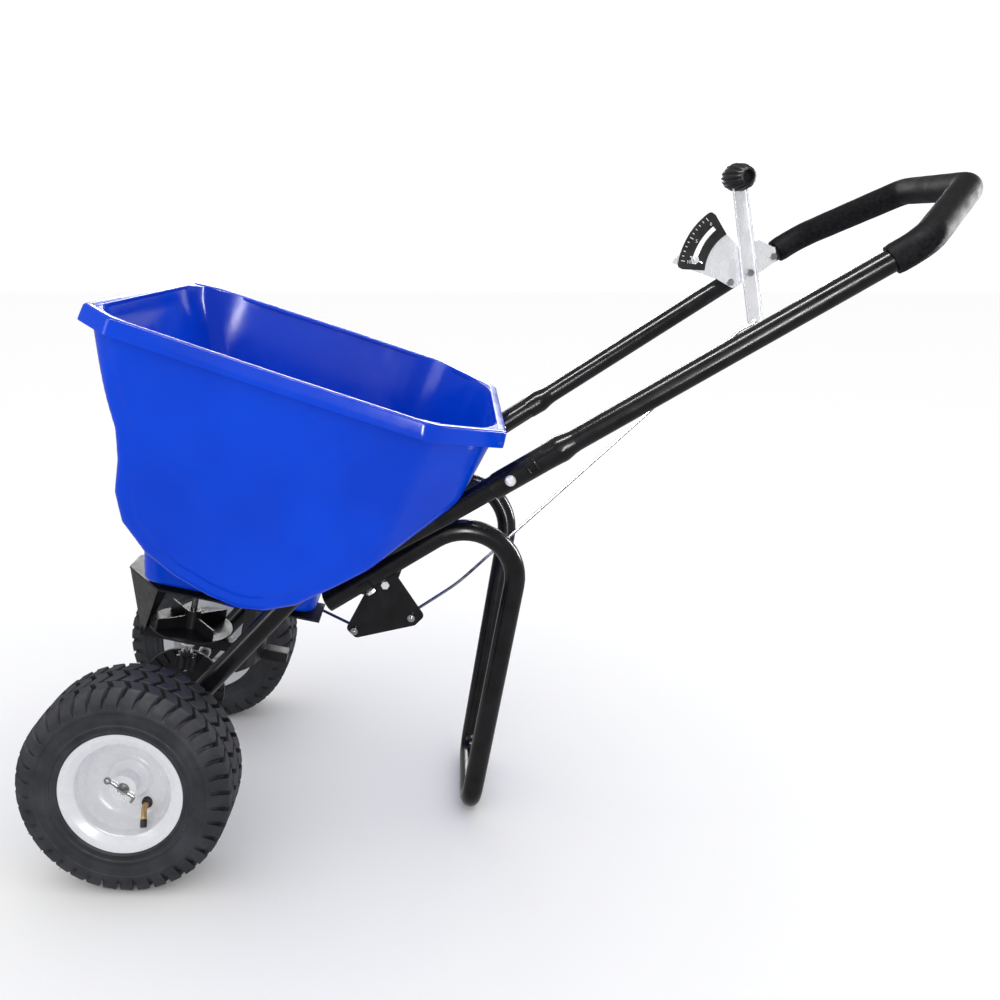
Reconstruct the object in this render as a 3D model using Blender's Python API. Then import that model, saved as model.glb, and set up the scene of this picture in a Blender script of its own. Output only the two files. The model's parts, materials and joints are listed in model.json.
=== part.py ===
"""A walk-behind broadcast spreader standing on its stand: blue hopper, tubular frame, two pneumatic
wheels, a geared impeller, and a hand lever that opens the shut-off gate through rods and a bell crank.

Metres. +X runs from the wheels back to the handle, +Y to the spreader's right side, +Z up.
The design is laid out from the axle: X is measured from it and Z from the ground. The origin is the
middle of the footprint, so AXLE_X places the axle in the part's own frame.
"""

from math import acos, cos, hypot, pi, radians, sin, tan

import bmesh
import bpy
from mathutils import Matrix, Vector

GAP = 0.0003
FIT = 0.0004

# Wheels and axle
WHEEL_RADIUS = 0.165
TYRE_WIDTH = 0.117
TRACK = 0.55
RIM_RADIUS = 0.0955
RIM_WIDTH = 0.108
BEAD_RADIUS = 0.0785
AXLE_RADIUS = 0.0095
AXLE_LENGTH = 0.604
HUB_RADIUS = 0.0165
HUB_LENGTH = 0.086
WHEEL_STEPS = 24

# Tilt of the hopper rim and of the drive unit when the spreader stands parked
HOPPER_TILT = radians(18.2)
DRIVE_TILT = radians(11)

# Tubes
TUBE_RADIUS = 0.017
TUBE_WALL = 0.002
TUBE_SIDES = 10
SLOPE = radians(31.5)
FRAME_Y = 0.19
FRAME_BEND = Vector((0.245, FRAME_Y, 0.428))
SPLAY = radians(6.66)
JOINT_START = 0.557
SWAGE_X = 0.652
HANDLE_JOINT = Vector((0.61, 0.202, 0.64))
STAND_Y = 0.155
STAND_FOOT_Y = 0.094

# Handle grip
GRIP_RADIUS = 0.0235
GRIP_START_X = 1.112
GRIP_BEND_X = 1.155
GRIP_BAR = Vector((1.283, 0.112, 1.064))

# Hopper, in its own level frame: u backwards, v up, from the axle
RIM_HEIGHT = 0.686
RIM_FRONT = -0.262
RIM_REAR = 0.384
RIM_HALF_WIDTH = 0.343
FRONT_HALF = 0.288
REAR_HALF = 0.212
FRONT_CHAMFER = (0.055, 0.046)
REAR_CHAMFER = (0.112, 0.128)
CHAMFER_LEAN = 0.16
LIP = 0.012
LIP_DEPTH = 0.026
WALL = 0.0032
GROOVE = 0.022

# Drive unit, in its own level frame: p backwards, q up, from the axle
BASE_HEIGHT = 0.2365
GATE_THICKNESS = 0.002
PLATE_TOP = 0.2320
PLATE_THICKNESS = 0.003
IMPELLER_HEIGHT = 0.140
IMPELLER_RADIUS = 0.074
SHAFT_RADIUS = 0.006
SHAFT_BOTTOM = 0.048
SHAFT_TOP = 0.300
KEEL_HEIGHT = 0.112
APEX = -0.086
REAR_WALL = 0.135
GEAR_TEETH = 24
PINION_TEETH = 6
MESH_RADIUS = 0.064
PINION_RADIUS = 0.016

# Control linkage
CRANK_PIVOT = Vector((0.386, -0.130, 0.426))
CRANK_REAR_PIN = Vector((0.428, -0.130, 0.369))
CRANK_FRONT_PIN = Vector((0.334, -0.130, 0.345))
CRANK_THICKNESS = 0.003
ROD_RADIUS = 0.0025
LEVER_PIVOT = Vector((1.053, 0.2346, 0.917))
LEVER_LEAN = radians(9.5)
LEVER_UP = 0.176
LEVER_DOWN = 0.104
LEVER_HOOK = 0.094
LEVER_WIDTH = 0.030
LEVER_Y = -0.009
HOOK_HOLE_RADIUS = 0.0056
SCALE_INNER = 0.085
SCALE_OUTER = 0.138
SCALE_SLOT = 0.108
STOP_ANGLE = radians(166.8)

# The rearmost point is the grip's crossbar and the foremost the tyres
REAR_EXTENT = GRIP_BAR.x + GRIP_RADIUS
AXLE_X = -(REAR_EXTENT - WHEEL_RADIUS) / 2

MATERIALS = {
    "blue_poly": ((0.0, 0.055, 0.72), 0.28, 0.0),
    "black_paint": ((0.012, 0.012, 0.014), 0.3, 0.4),
    "black_plastic": ((0.02, 0.02, 0.022), 0.5, 0.0),
    "zinc": ((0.75, 0.77, 0.8), 0.3, 1.0),
    "white_paint": ((0.82, 0.82, 0.83), 0.35, 0.0),
    "tyre_rubber": ((0.03, 0.03, 0.032), 0.75, 0.0),
    "foam": ((0.02, 0.02, 0.022), 0.85, 0.0),
    "nylon": ((0.75, 0.74, 0.7), 0.45, 0.0),
    "brass": ((0.55, 0.4, 0.2), 0.35, 1.0),
}


def clear_scene():
    for obj in list(bpy.data.objects):
        bpy.data.objects.remove(obj, do_unlink=True)


def make_collection(name):
    collection = bpy.data.collections.new(name)
    bpy.context.scene.collection.children.link(collection)
    return collection


def make_material(name):
    colour, roughness, metallic = MATERIALS[name]
    material = bpy.data.materials.new(name)
    material.use_nodes = True
    shader = material.node_tree.nodes["Principled BSDF"]
    shader.inputs["Base Color"].default_value = (*colour, 1)
    shader.inputs["Roughness"].default_value = roughness
    shader.inputs["Metallic"].default_value = metallic
    return material


clear_scene()
PARTS = make_collection("garden_spreader")
CUTTERS = make_collection("cutters")
MADE = {name: make_material(name) for name in MATERIALS}


def place(x, y, z):
    """A point laid out from the axle (x) and the ground (z), in the part's own frame."""
    return Vector((x + AXLE_X, y, z))


def make_empty(name, location, rotation=(0, 0, 0)):
    empty = bpy.data.objects.new(name, None)
    empty.location = location
    empty.rotation_euler = rotation
    empty.empty_display_size = 0.03
    PARTS.objects.link(empty)
    return empty


def link_mesh(name, bm, material, parent=None, location=(0, 0, 0), rotation=(0, 0, 0), smooth=35):
    bmesh.ops.recalc_face_normals(bm, faces=bm.faces)
    mesh = bpy.data.meshes.new(name)
    bm.to_mesh(mesh)
    bm.free()
    mesh.materials.append(MADE[material])
    mesh.shade_smooth()
    mesh.set_sharp_from_angle(angle=radians(smooth))
    obj = bpy.data.objects.new(name, mesh)
    obj.location = location
    obj.rotation_euler = rotation
    obj.parent = parent
    PARTS.objects.link(obj)
    return obj


def as_cutter(obj):
    """Turns a made object into a hidden helper for a Boolean."""
    for collection in list(obj.users_collection):
        collection.objects.unlink(obj)
    CUTTERS.objects.link(obj)
    obj.hide_render = True
    obj.display_type = "WIRE"
    return obj


def boolean(obj, other, operation="DIFFERENCE"):
    modifier = obj.modifiers.new(operation.lower(), "BOOLEAN")
    modifier.operation = operation
    modifier.object = as_cutter(other)
    modifier.solver = "EXACT"


def bake(obj):
    """Applies an object's modifiers, so that it can itself be a cutter or be cut again."""
    bpy.context.view_layer.update()
    graph = bpy.context.evaluated_depsgraph_get()
    mesh = bpy.data.meshes.new_from_object(obj.evaluated_get(graph))
    obj.modifiers.clear()
    obj.data = mesh
    return obj


def weld(obj):
    """Closes the hair-thin slivers that a row of Booleans leaves."""
    modifier = obj.modifiers.new("weld", "WELD")
    modifier.merge_threshold = 0.00001


def loft(rings, closed=False):
    """A surface through rings of equal length: capped at both ends, or joined last to first."""
    bm = bmesh.new()
    made = [[bm.verts.new(point) for point in ring] for ring in rings]
    pairs = list(zip(made, made[1:]))
    if closed:
        pairs.append((made[-1], made[0]))
    for low, high in pairs:
        for i in range(len(low)):
            j = (i + 1) % len(low)
            bm.faces.new((low[i], low[j], high[j], high[i]))
    if not closed:
        bm.faces.new(made[0])
        bm.faces.new(made[-1])
    return bm


def circle(radius, sides, height):
    step = 2 * pi / sides
    return [Vector((radius * cos(i * step), radius * sin(i * step), height)) for i in range(sides)]


def turned(profile, sides):
    """A closed ring turned about Z from a closed (radius, height) profile, or a solid if it meets Z."""
    rings = [circle(radius, sides, height) for radius, height in profile]
    return loft(rings, closed=True)


def rod_mesh(radius, low, high, sides=16):
    return loft([circle(radius, sides, low), circle(radius, sides, high)])


def stacked(steps, sides=16):
    """A solid of revolution about Z from (radius, height) steps, bottom to top, with flat ends."""
    return loft([circle(radius, sides, height) for radius, height in steps])


def prism(outline, low, high):
    return loft([[Vector((x, y, low)) for x, y in outline], [Vector((x, y, high)) for x, y in outline]])


def box_mesh(size, centre=(0, 0, 0)):
    bm = bmesh.new()
    bmesh.ops.create_cube(bm, size=1)
    bmesh.ops.scale(bm, vec=size, verts=bm.verts)
    bmesh.ops.translate(bm, vec=centre, verts=bm.verts)
    return bm


def merge(*meshes):
    """Several closed bodies in one mesh, for a cutter or a union."""
    whole = bmesh.new()
    for bm in meshes:
        mesh = bpy.data.meshes.new("part")
        bmesh.ops.recalc_face_normals(bm, faces=bm.faces)
        bm.to_mesh(mesh)
        bm.free()
        whole.from_mesh(mesh)
        bpy.data.meshes.remove(mesh)
    return whole


def turn(bm, angle, axis):
    bmesh.ops.rotate(bm, cent=(0, 0, 0), matrix=Matrix.Rotation(angle, 3, axis), verts=bm.verts)
    return bm


def shift(bm, offset):
    bmesh.ops.translate(bm, vec=offset, verts=bm.verts)
    return bm


def rounded_path(points, radii, steps=6):
    """The polyline through points, with each inner corner replaced by an arc of the given radius."""
    path = [points[0]]
    for before, corner, after, radius in zip(points, points[1:], points[2:], radii):
        back = (before - corner).normalized()
        ahead = (after - corner).normalized()
        half = acos(max(-1, min(1, back.dot(ahead)))) / 2
        reach = radius / tan(half)
        centre = corner + (back + ahead).normalized() * (radius / sin(half))
        start = corner + back * reach - centre
        end = corner + ahead * reach - centre
        swing = pi - 2 * half
        for i in range(steps + 1):
            t = i / steps
            path.append(centre + (start * sin((1 - t) * swing) + end * sin(t * swing)) / sin(swing))
    path.append(points[-1])
    return path


def sweep_rings(path, radius, sides, squash=None):
    """Circles along a path, square to it. squash(i) may give (across, outward) factors for ring i."""
    rings = []
    tangent = (path[1] - path[0]).normalized()
    side = Vector((0, 1, 0)) if abs(tangent.y) < 0.9 else Vector((1, 0, 0))
    side = (side - tangent * side.dot(tangent)).normalized()
    for i, point in enumerate(path):
        if 0 < i < len(path) - 1:
            new = ((path[i + 1] - point).normalized() + (point - path[i - 1]).normalized()).normalized()
        elif i:
            new = (point - path[i - 1]).normalized()
        else:
            new = tangent
        side = tangent.rotation_difference(new) @ side
        tangent = new
        side = (side - tangent * side.dot(tangent)).normalized()
        up = tangent.cross(side)
        across, outward = squash(i) if squash else (1, 1)
        step = 2 * pi / sides
        rings.append([point + up * (radius * across * cos(j * step)) + side * (radius * outward * sin(j * step))
                      for j in range(sides)])
    return rings


def hollow_tube(path, radius, wall, sides=TUBE_SIDES, squash=None):
    outer = sweep_rings(path, radius, sides, squash)
    inner = sweep_rings(path, radius - wall, sides, squash)
    return loft(outer + inner[::-1], closed=True)


def solid_wire(path, radius, sides=8):
    return loft(sweep_rings(path, radius, sides))


def mirrored(bm):
    """The same mesh on the other side of Y = 0."""
    bmesh.ops.scale(bm, vec=(1, -1, 1), verts=bm.verts)
    bmesh.ops.reverse_faces(bm, faces=bm.faces)
    return bm


def plate_xz(outline, thickness):
    """A flat plate in the X-Z plane, centred on Y = 0."""
    return turn(prism(outline, -thickness / 2, thickness / 2), pi / 2, "X")


def along_y(bm):
    """Turns a mesh built along +Z so that it lies along -Y."""
    return turn(bm, pi / 2, "X")


def rounded_outline(corners, radii, steps=4):
    """A closed flat outline whose corners are arcs."""
    count = len(corners)
    outline = []
    for i, (corner, radius) in enumerate(zip(corners, radii)):
        before = Vector((*corners[i - 1], 0))
        after = Vector((*corners[(i + 1) % count], 0))
        here = Vector((*corner, 0))
        arc = rounded_path([before, here, after], [radius], steps)[1:-1]
        outline += [(point.x, point.y) for point in arc]
    return outline


def arc_plate(inner, outer, low, high, steps=12):
    angles = [low + (high - low) * i / steps for i in range(steps + 1)]
    outside = [(outer * cos(a), outer * sin(a)) for a in angles]
    inside = [(inner * cos(a), inner * sin(a)) for a in reversed(angles)]
    return outside + inside


SIDES = (("left", -1), ("right", 1))
AXLE = make_empty("axle_line", place(0, 0, WHEEL_RADIUS))
DRIVE = make_empty("drive_frame", place(0, 0, WHEEL_RADIUS), (0, DRIVE_TILT, 0))
LEVEL = make_empty("hopper_frame", place(0, 0, WHEEL_RADIUS), (0, HOPPER_TILT, 0))
IMPELLER_AXIS = make_empty("impeller_axis", place(0, 0, WHEEL_RADIUS), (0, DRIVE_TILT, 0))
LEVER_FRAME = make_empty("lever_frame", place(LEVER_PIVOT.x, LEVER_PIVOT.y, LEVER_PIVOT.z), (0, 0, SPLAY))


# ---------------------------------------------------------------- wheels


def tyre_profile():
    """Carcass section (radius, offset from the tyre's middle): tread, shoulders, sidewalls, beads."""
    half = TYRE_WIDTH / 2
    outside = [(WHEEL_RADIUS, 0.0), (WHEEL_RADIUS - 0.002, 0.65 * half), (WHEEL_RADIUS - 0.010, 0.90 * half),
               (WHEEL_RADIUS - 0.028, half), (0.108, 0.95 * half), (RIM_RADIUS + 0.0025, 0.86 * half)]
    inside = [(BEAD_RADIUS + 0.001, RIM_WIDTH / 2 - 0.0085), (BEAD_RADIUS, RIM_WIDTH / 2 - 0.020),
              (0.104, 0.76 * half), (WHEEL_RADIUS - 0.018, 0.78 * half), (WHEEL_RADIUS - 0.012, 0.0)]
    right = outside + inside
    left = [(radius, -offset) for radius, offset in reversed(right[1:-1])]
    return right + left


def rim_profile():
    """Closed section of the pressed-steel rim, outer face towards +Z, with its welded hub tube."""
    edge = RIM_WIDTH / 2
    sheet = 0.0022
    bore = AXLE_RADIUS + 0.0042
    outer = [(RIM_RADIUS, edge), (RIM_RADIUS - 0.008, edge - 0.002), (BEAD_RADIUS - 0.004, edge - 0.010),
             (BEAD_RADIUS - 0.005, edge - 0.022), (0.060, edge - 0.044), (0.034, edge - 0.050),
             (0.030, edge - 0.042), (HUB_RADIUS, edge - 0.042), (HUB_RADIUS, HUB_LENGTH / 2 - 0.010),
             (bore, HUB_LENGTH / 2 - 0.010)]
    inner = [(bore, 0.002 - HUB_LENGTH / 2), (HUB_RADIUS, 0.002 - HUB_LENGTH / 2), (HUB_RADIUS, edge - 0.0475),
             (0.034, edge - 0.053), (0.061, edge - 0.047), (BEAD_RADIUS - 0.0075, edge - 0.027),
             (BEAD_RADIUS - 0.009, 0.022 - edge), (BEAD_RADIUS - 0.003, 0.005 - edge), (RIM_RADIUS, -edge),
             (RIM_RADIUS, sheet - edge), (BEAD_RADIUS - GAP, 0.008 - edge), (BEAD_RADIUS - 0.006, 0.026 - edge),
             (BEAD_RADIUS - 0.006, edge - 0.026), (BEAD_RADIUS - GAP, edge - 0.008), (RIM_RADIUS, edge - sheet)]
    return outer + inner


def make_wheel(name, side):
    """side is -1 for the left wheel. Every piece is modelled with its outer face towards +Z."""
    spin = make_empty(f"{name}_wheel_axis", place(0, side * TRACK / 2, WHEEL_RADIUS), (side * -pi / 2, 0, 0))
    edge = RIM_WIDTH / 2
    link_mesh(f"{name}_tyre", turned(tyre_profile(), WHEEL_STEPS), "tyre_rubber", spin, smooth=50)
    rim = link_mesh(f"{name}_rim", turned(rim_profile(), WHEEL_STEPS), "white_paint", spin)
    valve_at = (0.026, 0.040 * side, 0)
    boolean(rim, link_mesh(f"{name}_valve_hole", rod_mesh(0.0062, 0, edge, 12), "zinc", spin, valve_at))
    bushing = [(AXLE_RADIUS + FIT, HUB_LENGTH / 2 - 0.020), (AXLE_RADIUS + 0.0038, HUB_LENGTH / 2 - 0.020),
               (AXLE_RADIUS + 0.0038, HUB_LENGTH / 2 - 0.0097), (HUB_RADIUS + 0.001, HUB_LENGTH / 2 - 0.0097),
               (HUB_RADIUS + 0.001, HUB_LENGTH / 2 - 0.0067), (AXLE_RADIUS + FIT, HUB_LENGTH / 2 - 0.0067)]
    link_mesh(f"{name}_hub_bushing", turned(bushing, 20), "nylon", spin)
    washer_low = HUB_LENGTH / 2 - 0.0064
    washer = [(AXLE_RADIUS + FIT, washer_low), (0.0205, washer_low), (0.0205, washer_low + 0.002),
              (AXLE_RADIUS + FIT, washer_low + 0.002)]
    link_mesh(f"{name}_axle_washer", turned(washer, 24), "zinc", spin)
    stem = rounded_path([Vector((0, 0, edge - 0.056)), Vector((0, 0, edge - 0.030)),
                         Vector((0.002, side * 0.012, edge - 0.020))], [0.008], 4)
    link_mesh(f"{name}_valve_stem", solid_wire(stem, 0.0045, 10), "brass", spin, valve_at)
    down = (stem[-1] - stem[-2]).normalized()
    cap = [stem[-1] + down * GAP, stem[-1] + down * 0.011]
    link_mesh(f"{name}_valve_cap", solid_wire(cap, 0.0052, 10), "black_plastic", spin, valve_at)


def make_axle():
    """A plain round bar, drilled near each end for a cotter pin and once for the gear pin."""
    axle = link_mesh("axle", along_y(rod_mesh(AXLE_RADIUS, -AXLE_LENGTH / 2, AXLE_LENGTH / 2, 20)), "zinc", AXLE)
    for name, side in SIDES:
        y = side * (TRACK / 2 + HUB_LENGTH / 2 - 0.0006)
        pin = box_mesh((0.046, 0.0026, 0.0026))
        tail = box_mesh((0.004, 0.0026, 0.009), (0.021, 0, -0.0045))
        head = turned([(0.0030, -0.0013), (0.0056, -0.0013), (0.0056, 0.0013), (0.0030, 0.0013)], 12)
        head = shift(turn(head, pi / 2, "X"), (-0.0265, 0, 0))
        cotter = link_mesh(f"{name}_cotter_pin", pin, "zinc", AXLE, (0, y, 0), (0, radians(35), 0))
        boolean(cotter, link_mesh(f"{name}_cotter_tail", tail, "zinc", AXLE, (0, y, 0), (0, radians(35), 0)), "UNION")
        boolean(cotter, link_mesh(f"{name}_cotter_head", head, "zinc", AXLE, (0, y, 0), (0, radians(35), 0)), "UNION")
        hole = box_mesh((0.06, 0.0032, 0.0032))
        boolean(axle, link_mesh(f"{name}_cotter_hole", hole, "zinc", AXLE, (0, y, 0), (0, radians(35), 0)))
    return axle


# ---------------------------------------------------------------- drive


def make_drive_gear(axle):
    """Crown gear pinned to the axle: its face teeth drive the pinion on the impeller shaft."""
    face = PINION_RADIUS + 0.0026
    disc = turned([(AXLE_RADIUS + GAP, face), (0.022, face), (0.052, face), (0.077, face),
                   (0.077, face + 0.006), (0.024, face + 0.008), (0.022, face + 0.020),
                   (AXLE_RADIUS + GAP, face + 0.020)], 36)
    lean = (0, DRIVE_TILT, 0)
    gear = link_mesh("drive_gear", turn(disc, -pi / 2, "X"), "black_plastic", AXLE, rotation=lean)
    teeth = []
    for i in range(GEAR_TEETH):
        tooth = box_mesh((0.020, 0.0042, 0.0065), (MESH_RADIUS + 0.001, 0, face - 0.0002))
        teeth.append(turn(tooth, (i + 0.5) * 2 * pi / GEAR_TEETH, "Z"))
    crown = turn(merge(*teeth), -pi / 2, "X")
    boolean(gear, link_mesh("crown_teeth", crown, "black_plastic", AXLE, rotation=lean), "UNION")
    pin_y = face + 0.014
    boolean(gear, link_mesh("gear_pin_hole", rod_mesh(0.0029, -0.03, 0.03, 10), "zinc", AXLE, (0, pin_y, 0)))
    boolean(axle, link_mesh("axle_pin_hole", rod_mesh(0.0029, -0.03, 0.03, 10), "zinc", AXLE, (0, pin_y, 0)))
    link_mesh("gear_pin", rod_mesh(0.0025, -0.025, 0.025, 10), "zinc", AXLE, (0, pin_y, 0))


def make_impeller_shaft():
    bottom, top = SHAFT_BOTTOM - 0.002, SHAFT_TOP
    shaft = link_mesh("impeller_shaft", rod_mesh(SHAFT_RADIUS, bottom, top, 16), "zinc", IMPELLER_AXIS)
    star = []
    for i in range(PINION_TEETH):
        start = i * 2 * pi / PINION_TEETH - pi / 2
        for radius, offset in ((0.0128, -0.26), (0.0182, -0.11), (0.0182, 0.11), (0.0128, 0.26)):
            star.append((radius * cos(start + offset), radius * sin(start + offset)))
    pinion = link_mesh("pinion", prism(star, SHAFT_BOTTOM + 0.004, SHAFT_BOTTOM + 0.028), "black_plastic",
                      IMPELLER_AXIS)
    collar = rod_mesh(0.0115, SHAFT_BOTTOM + 0.0275, SHAFT_BOTTOM + 0.036, 20)
    boolean(pinion, link_mesh("pinion_collar", collar, "black_plastic", IMPELLER_AXIS), "UNION")
    bore = rod_mesh(SHAFT_RADIUS + GAP, 0, 0.12, 16)
    boolean(pinion, link_mesh("pinion_bore", bore, "zinc", IMPELLER_AXIS))
    agitator_q = BASE_HEIGHT + 0.030
    hole = along_y(rod_mesh(0.0025, -0.02, 0.02, 8))
    boolean(shaft, link_mesh("agitator_hole", hole, "zinc", IMPELLER_AXIS, (0, 0, agitator_q)))
    bent = rounded_path([Vector((0, -0.042, 0.016)), Vector((0, -0.030, 0)), Vector((0, 0.030, 0)),
                         Vector((0, 0.042, 0.016))], [0.006, 0.006], 3)
    link_mesh("agitator_pin", solid_wire(bent, 0.002, 8), "zinc", IMPELLER_AXIS, (0, 0, agitator_q))


def make_impeller():
    """Spinning disc with four upright vanes on a hub."""
    low = IMPELLER_HEIGHT - 0.010
    disc = [(SHAFT_RADIUS + GAP, low - 0.006), (0.014, low - 0.006), (0.015, low), (IMPELLER_RADIUS, low + 0.002),
            (IMPELLER_RADIUS, low + 0.0048), (0.0155, low + 0.003), (0.0135, low + 0.034),
            (SHAFT_RADIUS + GAP, low + 0.034)]
    impeller = link_mesh("impeller", turned(disc, 40), "black_plastic", IMPELLER_AXIS)
    vanes = []
    for i in range(4):
        vane = prism([(0.0145, -0.0015), (0.071, -0.0015), (0.071, 0.0015), (0.0145, 0.0015)], low + 0.002, low + 0.024)
        vanes.append(turn(vane, (i + 0.5) * pi / 2, "Z"))
    boolean(impeller, link_mesh("impeller_vanes", merge(*vanes), "black_plastic", IMPELLER_AXIS), "UNION")


def plate_outline():
    """Plan of the guard's top plate: chamfered bow in front, square at the rear."""
    half = [(-0.118, 0.030), (-0.045, 0.104), (0.232, 0.104)]
    return half + [(p, -y) for p, y in reversed(half)]


def bow_wedge(back, spare):
    """The space under the bow, from the plate's chamfered front edge down to the keel's front end."""
    top = [(-0.1175 + back, 0.0295), (-0.0455 + back, 0.1035)]
    bottom = [(APEX + back, 0.004), (APEX + 0.005 + back, 0.009)]
    rings = []
    for outline, q in ((bottom, KEEL_HEIGHT - 0.008 - spare), (top, PLATE_TOP - 0.0012 + spare)):
        rings.append([Vector((p, y, q)) for p, y in outline + [(p, -y) for p, y in reversed(outline)]])
    return loft(rings)


def make_impeller_guard():
    """Top plate, two bow panels that meet the keel bar, and the rear wall behind the impeller."""
    top = PLATE_TOP
    guard = link_mesh("impeller_guard", prism(plate_outline(), top - PLATE_THICKNESS, top), "black_plastic", DRIVE)
    keel_low, keel_high = KEEL_HEIGHT - 0.010, KEEL_HEIGHT + 0.009
    keel = box_mesh((REAR_WALL + 0.046 - APEX, 0.024, keel_high - keel_low),
                    ((REAR_WALL + 0.046 + APEX) / 2, 0, KEEL_HEIGHT - 0.0005))
    boolean(guard, link_mesh("keel", keel, "black_plastic", DRIVE), "UNION")
    bow = link_mesh("bow", bow_wedge(0.0, 0.0), "black_plastic", DRIVE)
    boolean(bow, link_mesh("bow_inside", bow_wedge(0.0036, 0.004), "black_plastic", DRIVE))
    boolean(guard, bake(bow), "UNION")
    rear = prism(arc_plate(REAR_WALL, REAR_WALL + 0.003, radians(-40), radians(40), 8), keel_low + 0.003, top - 0.0013)
    boolean(guard, link_mesh("rear_wall", rear, "black_plastic", DRIVE), "UNION")
    shaft_hole = rod_mesh(0.0155, 0.2, 0.25, 20)
    boolean(guard, link_mesh("guard_shaft_hole", shaft_hole, "zinc", DRIVE))
    bearing_hole = rod_mesh(0.0095 + GAP, 0.09, 0.125, 20)
    boolean(guard, link_mesh("keel_bearing_hole", bearing_hole, "zinc", DRIVE))
    port = prism([(0.030, -0.040), (0.085, -0.050), (0.085, 0.050), (0.030, 0.040)], 0.22, 0.24)
    boolean(guard, link_mesh("guard_port", port, "zinc", DRIVE))
    rear_slot = box_mesh((0.06, 0.05, 0.02), (0.225, 0, 0.232))
    boolean(guard, link_mesh("guard_rod_slot", rear_slot, "zinc", DRIVE))
    bearing = turned([(SHAFT_RADIUS + FIT, keel_low - 0.004), (0.0135, keel_low - 0.004), (0.0135, keel_low - GAP),
                      (0.0095, keel_low - GAP), (0.0095, keel_high + 0.001), (SHAFT_RADIUS + FIT, keel_high + 0.001)], 20)
    link_mesh("shaft_bearing", bearing, "nylon", DRIVE)


# ---------------------------------------------------------------- hopper


def side_profile(inset):
    """The hopper's side outline in (u, v), from the top front down, under and up to the top rear."""
    points = [(-0.249, RIM_HEIGHT - 0.004), (-0.240, 0.657), (-0.164, 0.525), (-0.150, 0.480), (-0.143, 0.430),
              (-0.124, 0.385), (-0.080, 0.346), (-0.030, 0.324), (0.030, 0.309), (0.080, 0.305), (0.118, 0.314),
              (0.162, 0.340), (0.205, 0.388), (0.267, 0.4625), (0.335, 0.540), (0.349, 0.560), (0.362, 0.646),
              (0.371, RIM_HEIGHT - 0.004)]
    inner = []
    for i, (u, v) in enumerate(points):
        u0, v0 = points[max(i - 1, 0)]
        u1, v1 = points[min(i + 1, len(points) - 1)]
        length = hypot(u1 - u0, v1 - v0)
        inner.append((u - inset * (v1 - v0) / length, v + inset * (u1 - u0) / length))
    for end in (0, -1):
        inner[end] = (inner[end][0], RIM_HEIGHT - 0.004)
    return inner


def hopper_half_width(v):
    return 0.270 + (v - 0.305) * 0.148


def hopper_solid(inset, top):
    """The closed body of the tub, shrunk by inset and reaching up to height top."""
    edge = 0.026
    stations = []
    for i in range(4):
        angle = i * pi / 6
        stations.append((edge * (1 - cos(angle)), edge * (1 - sin(angle)) * 0.8, 0.0))
    stations += [(0.044, 0.0, 0.0), (0.062, 0.0, GROOVE)]
    rings = []
    for side, order in ((-1, stations), (1, stations[::-1])):
        for step, shrink, lift in order:
            ring = []
            for u, v in side_profile(inset + shrink):
                raised = lift * max(0.0, min(1.0, (0.66 - v) / 0.12)) if u > 0.15 else 0.0
                half = hopper_half_width(v) - inset - step
                ring.append(Vector((u - 0.75 * raised, side * half, v + 0.66 * raised)))
            ring[0].z = ring[-1].z = top
            rings.append(ring)
    return loft(rings)


def chamfer_corners(bm, inset):
    """Cuts the tub's four upright corners with leaning planes, parallel to the rim's corners."""
    corners = ((RIM_REAR, *REAR_CHAMFER, REAR_HALF), (RIM_FRONT, *FRONT_CHAMFER, FRONT_HALF))
    for end, length, width, half in corners:
        outwards = 1 if end > 0 else -1
        for side in (-1, 1):
            normal = Vector((outwards * width, side * length, 0)).normalized()
            point = Vector((end, side * half, RIM_HEIGHT)) - normal * (LIP + inset)
            lean = normal - Vector((0, 0, CHAMFER_LEAN))
            geometry = bm.verts[:] + bm.edges[:] + bm.faces[:]
            bmesh.ops.bisect_plane(bm, geom=geometry, plane_co=point, plane_no=lean, clear_outer=True, dist=1e-6)
            edges = [edge for edge in bm.edges if edge.is_boundary]
            bmesh.ops.holes_fill(bm, edges=edges, sides=0)
    return bm


def rim_outline(offset):
    """Plan of the rim, offset outwards from the tub's top edge."""
    grow = offset - LIP
    corners = [(RIM_FRONT, FRONT_HALF), (RIM_FRONT + FRONT_CHAMFER[0], FRONT_HALF + FRONT_CHAMFER[1]),
               (0.060, RIM_HALF_WIDTH), (RIM_REAR - REAR_CHAMFER[0], REAR_HALF + REAR_CHAMFER[1]),
               (RIM_REAR, REAR_HALF)]
    full = corners + [(u, -y) for u, y in reversed(corners)]
    count = len(full)
    moved = []
    for i, (u, y) in enumerate(full):
        before = Vector(full[i - 1])
        here = Vector((u, y))
        after = Vector(full[(i + 1) % count])
        first = (here - before).normalized()
        second = (after - here).normalized()
        normals = [Vector((-edge.y, edge.x)) for edge in (first, second)]
        corner = (normals[0] + normals[1]).normalized()
        moved.append(tuple(here + corner * (grow / corner.dot(normals[0]))))
    radii = [0.020, 0.030, 0.10, 0.045, 0.016]
    return rounded_outline(moved, radii + radii[::-1], 2)


def make_rim():
    """The hopper's rolled rim: a flat ledge and a turned-down lip."""
    top = RIM_HEIGHT
    levels = [(-0.0018, top - 0.003), (-0.0018, top), (LIP - 0.002, top), (LIP, top - 0.002),
              (LIP + 0.0015, top - LIP_DEPTH), (LIP - 0.0015, top - LIP_DEPTH), (LIP - 0.003, top - 0.0034),
              (0.001, top - 0.0034)]
    return loft([[Vector((u, y, v)) for u, y in rim_outline(offset)] for offset, v in levels], closed=True)


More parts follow.
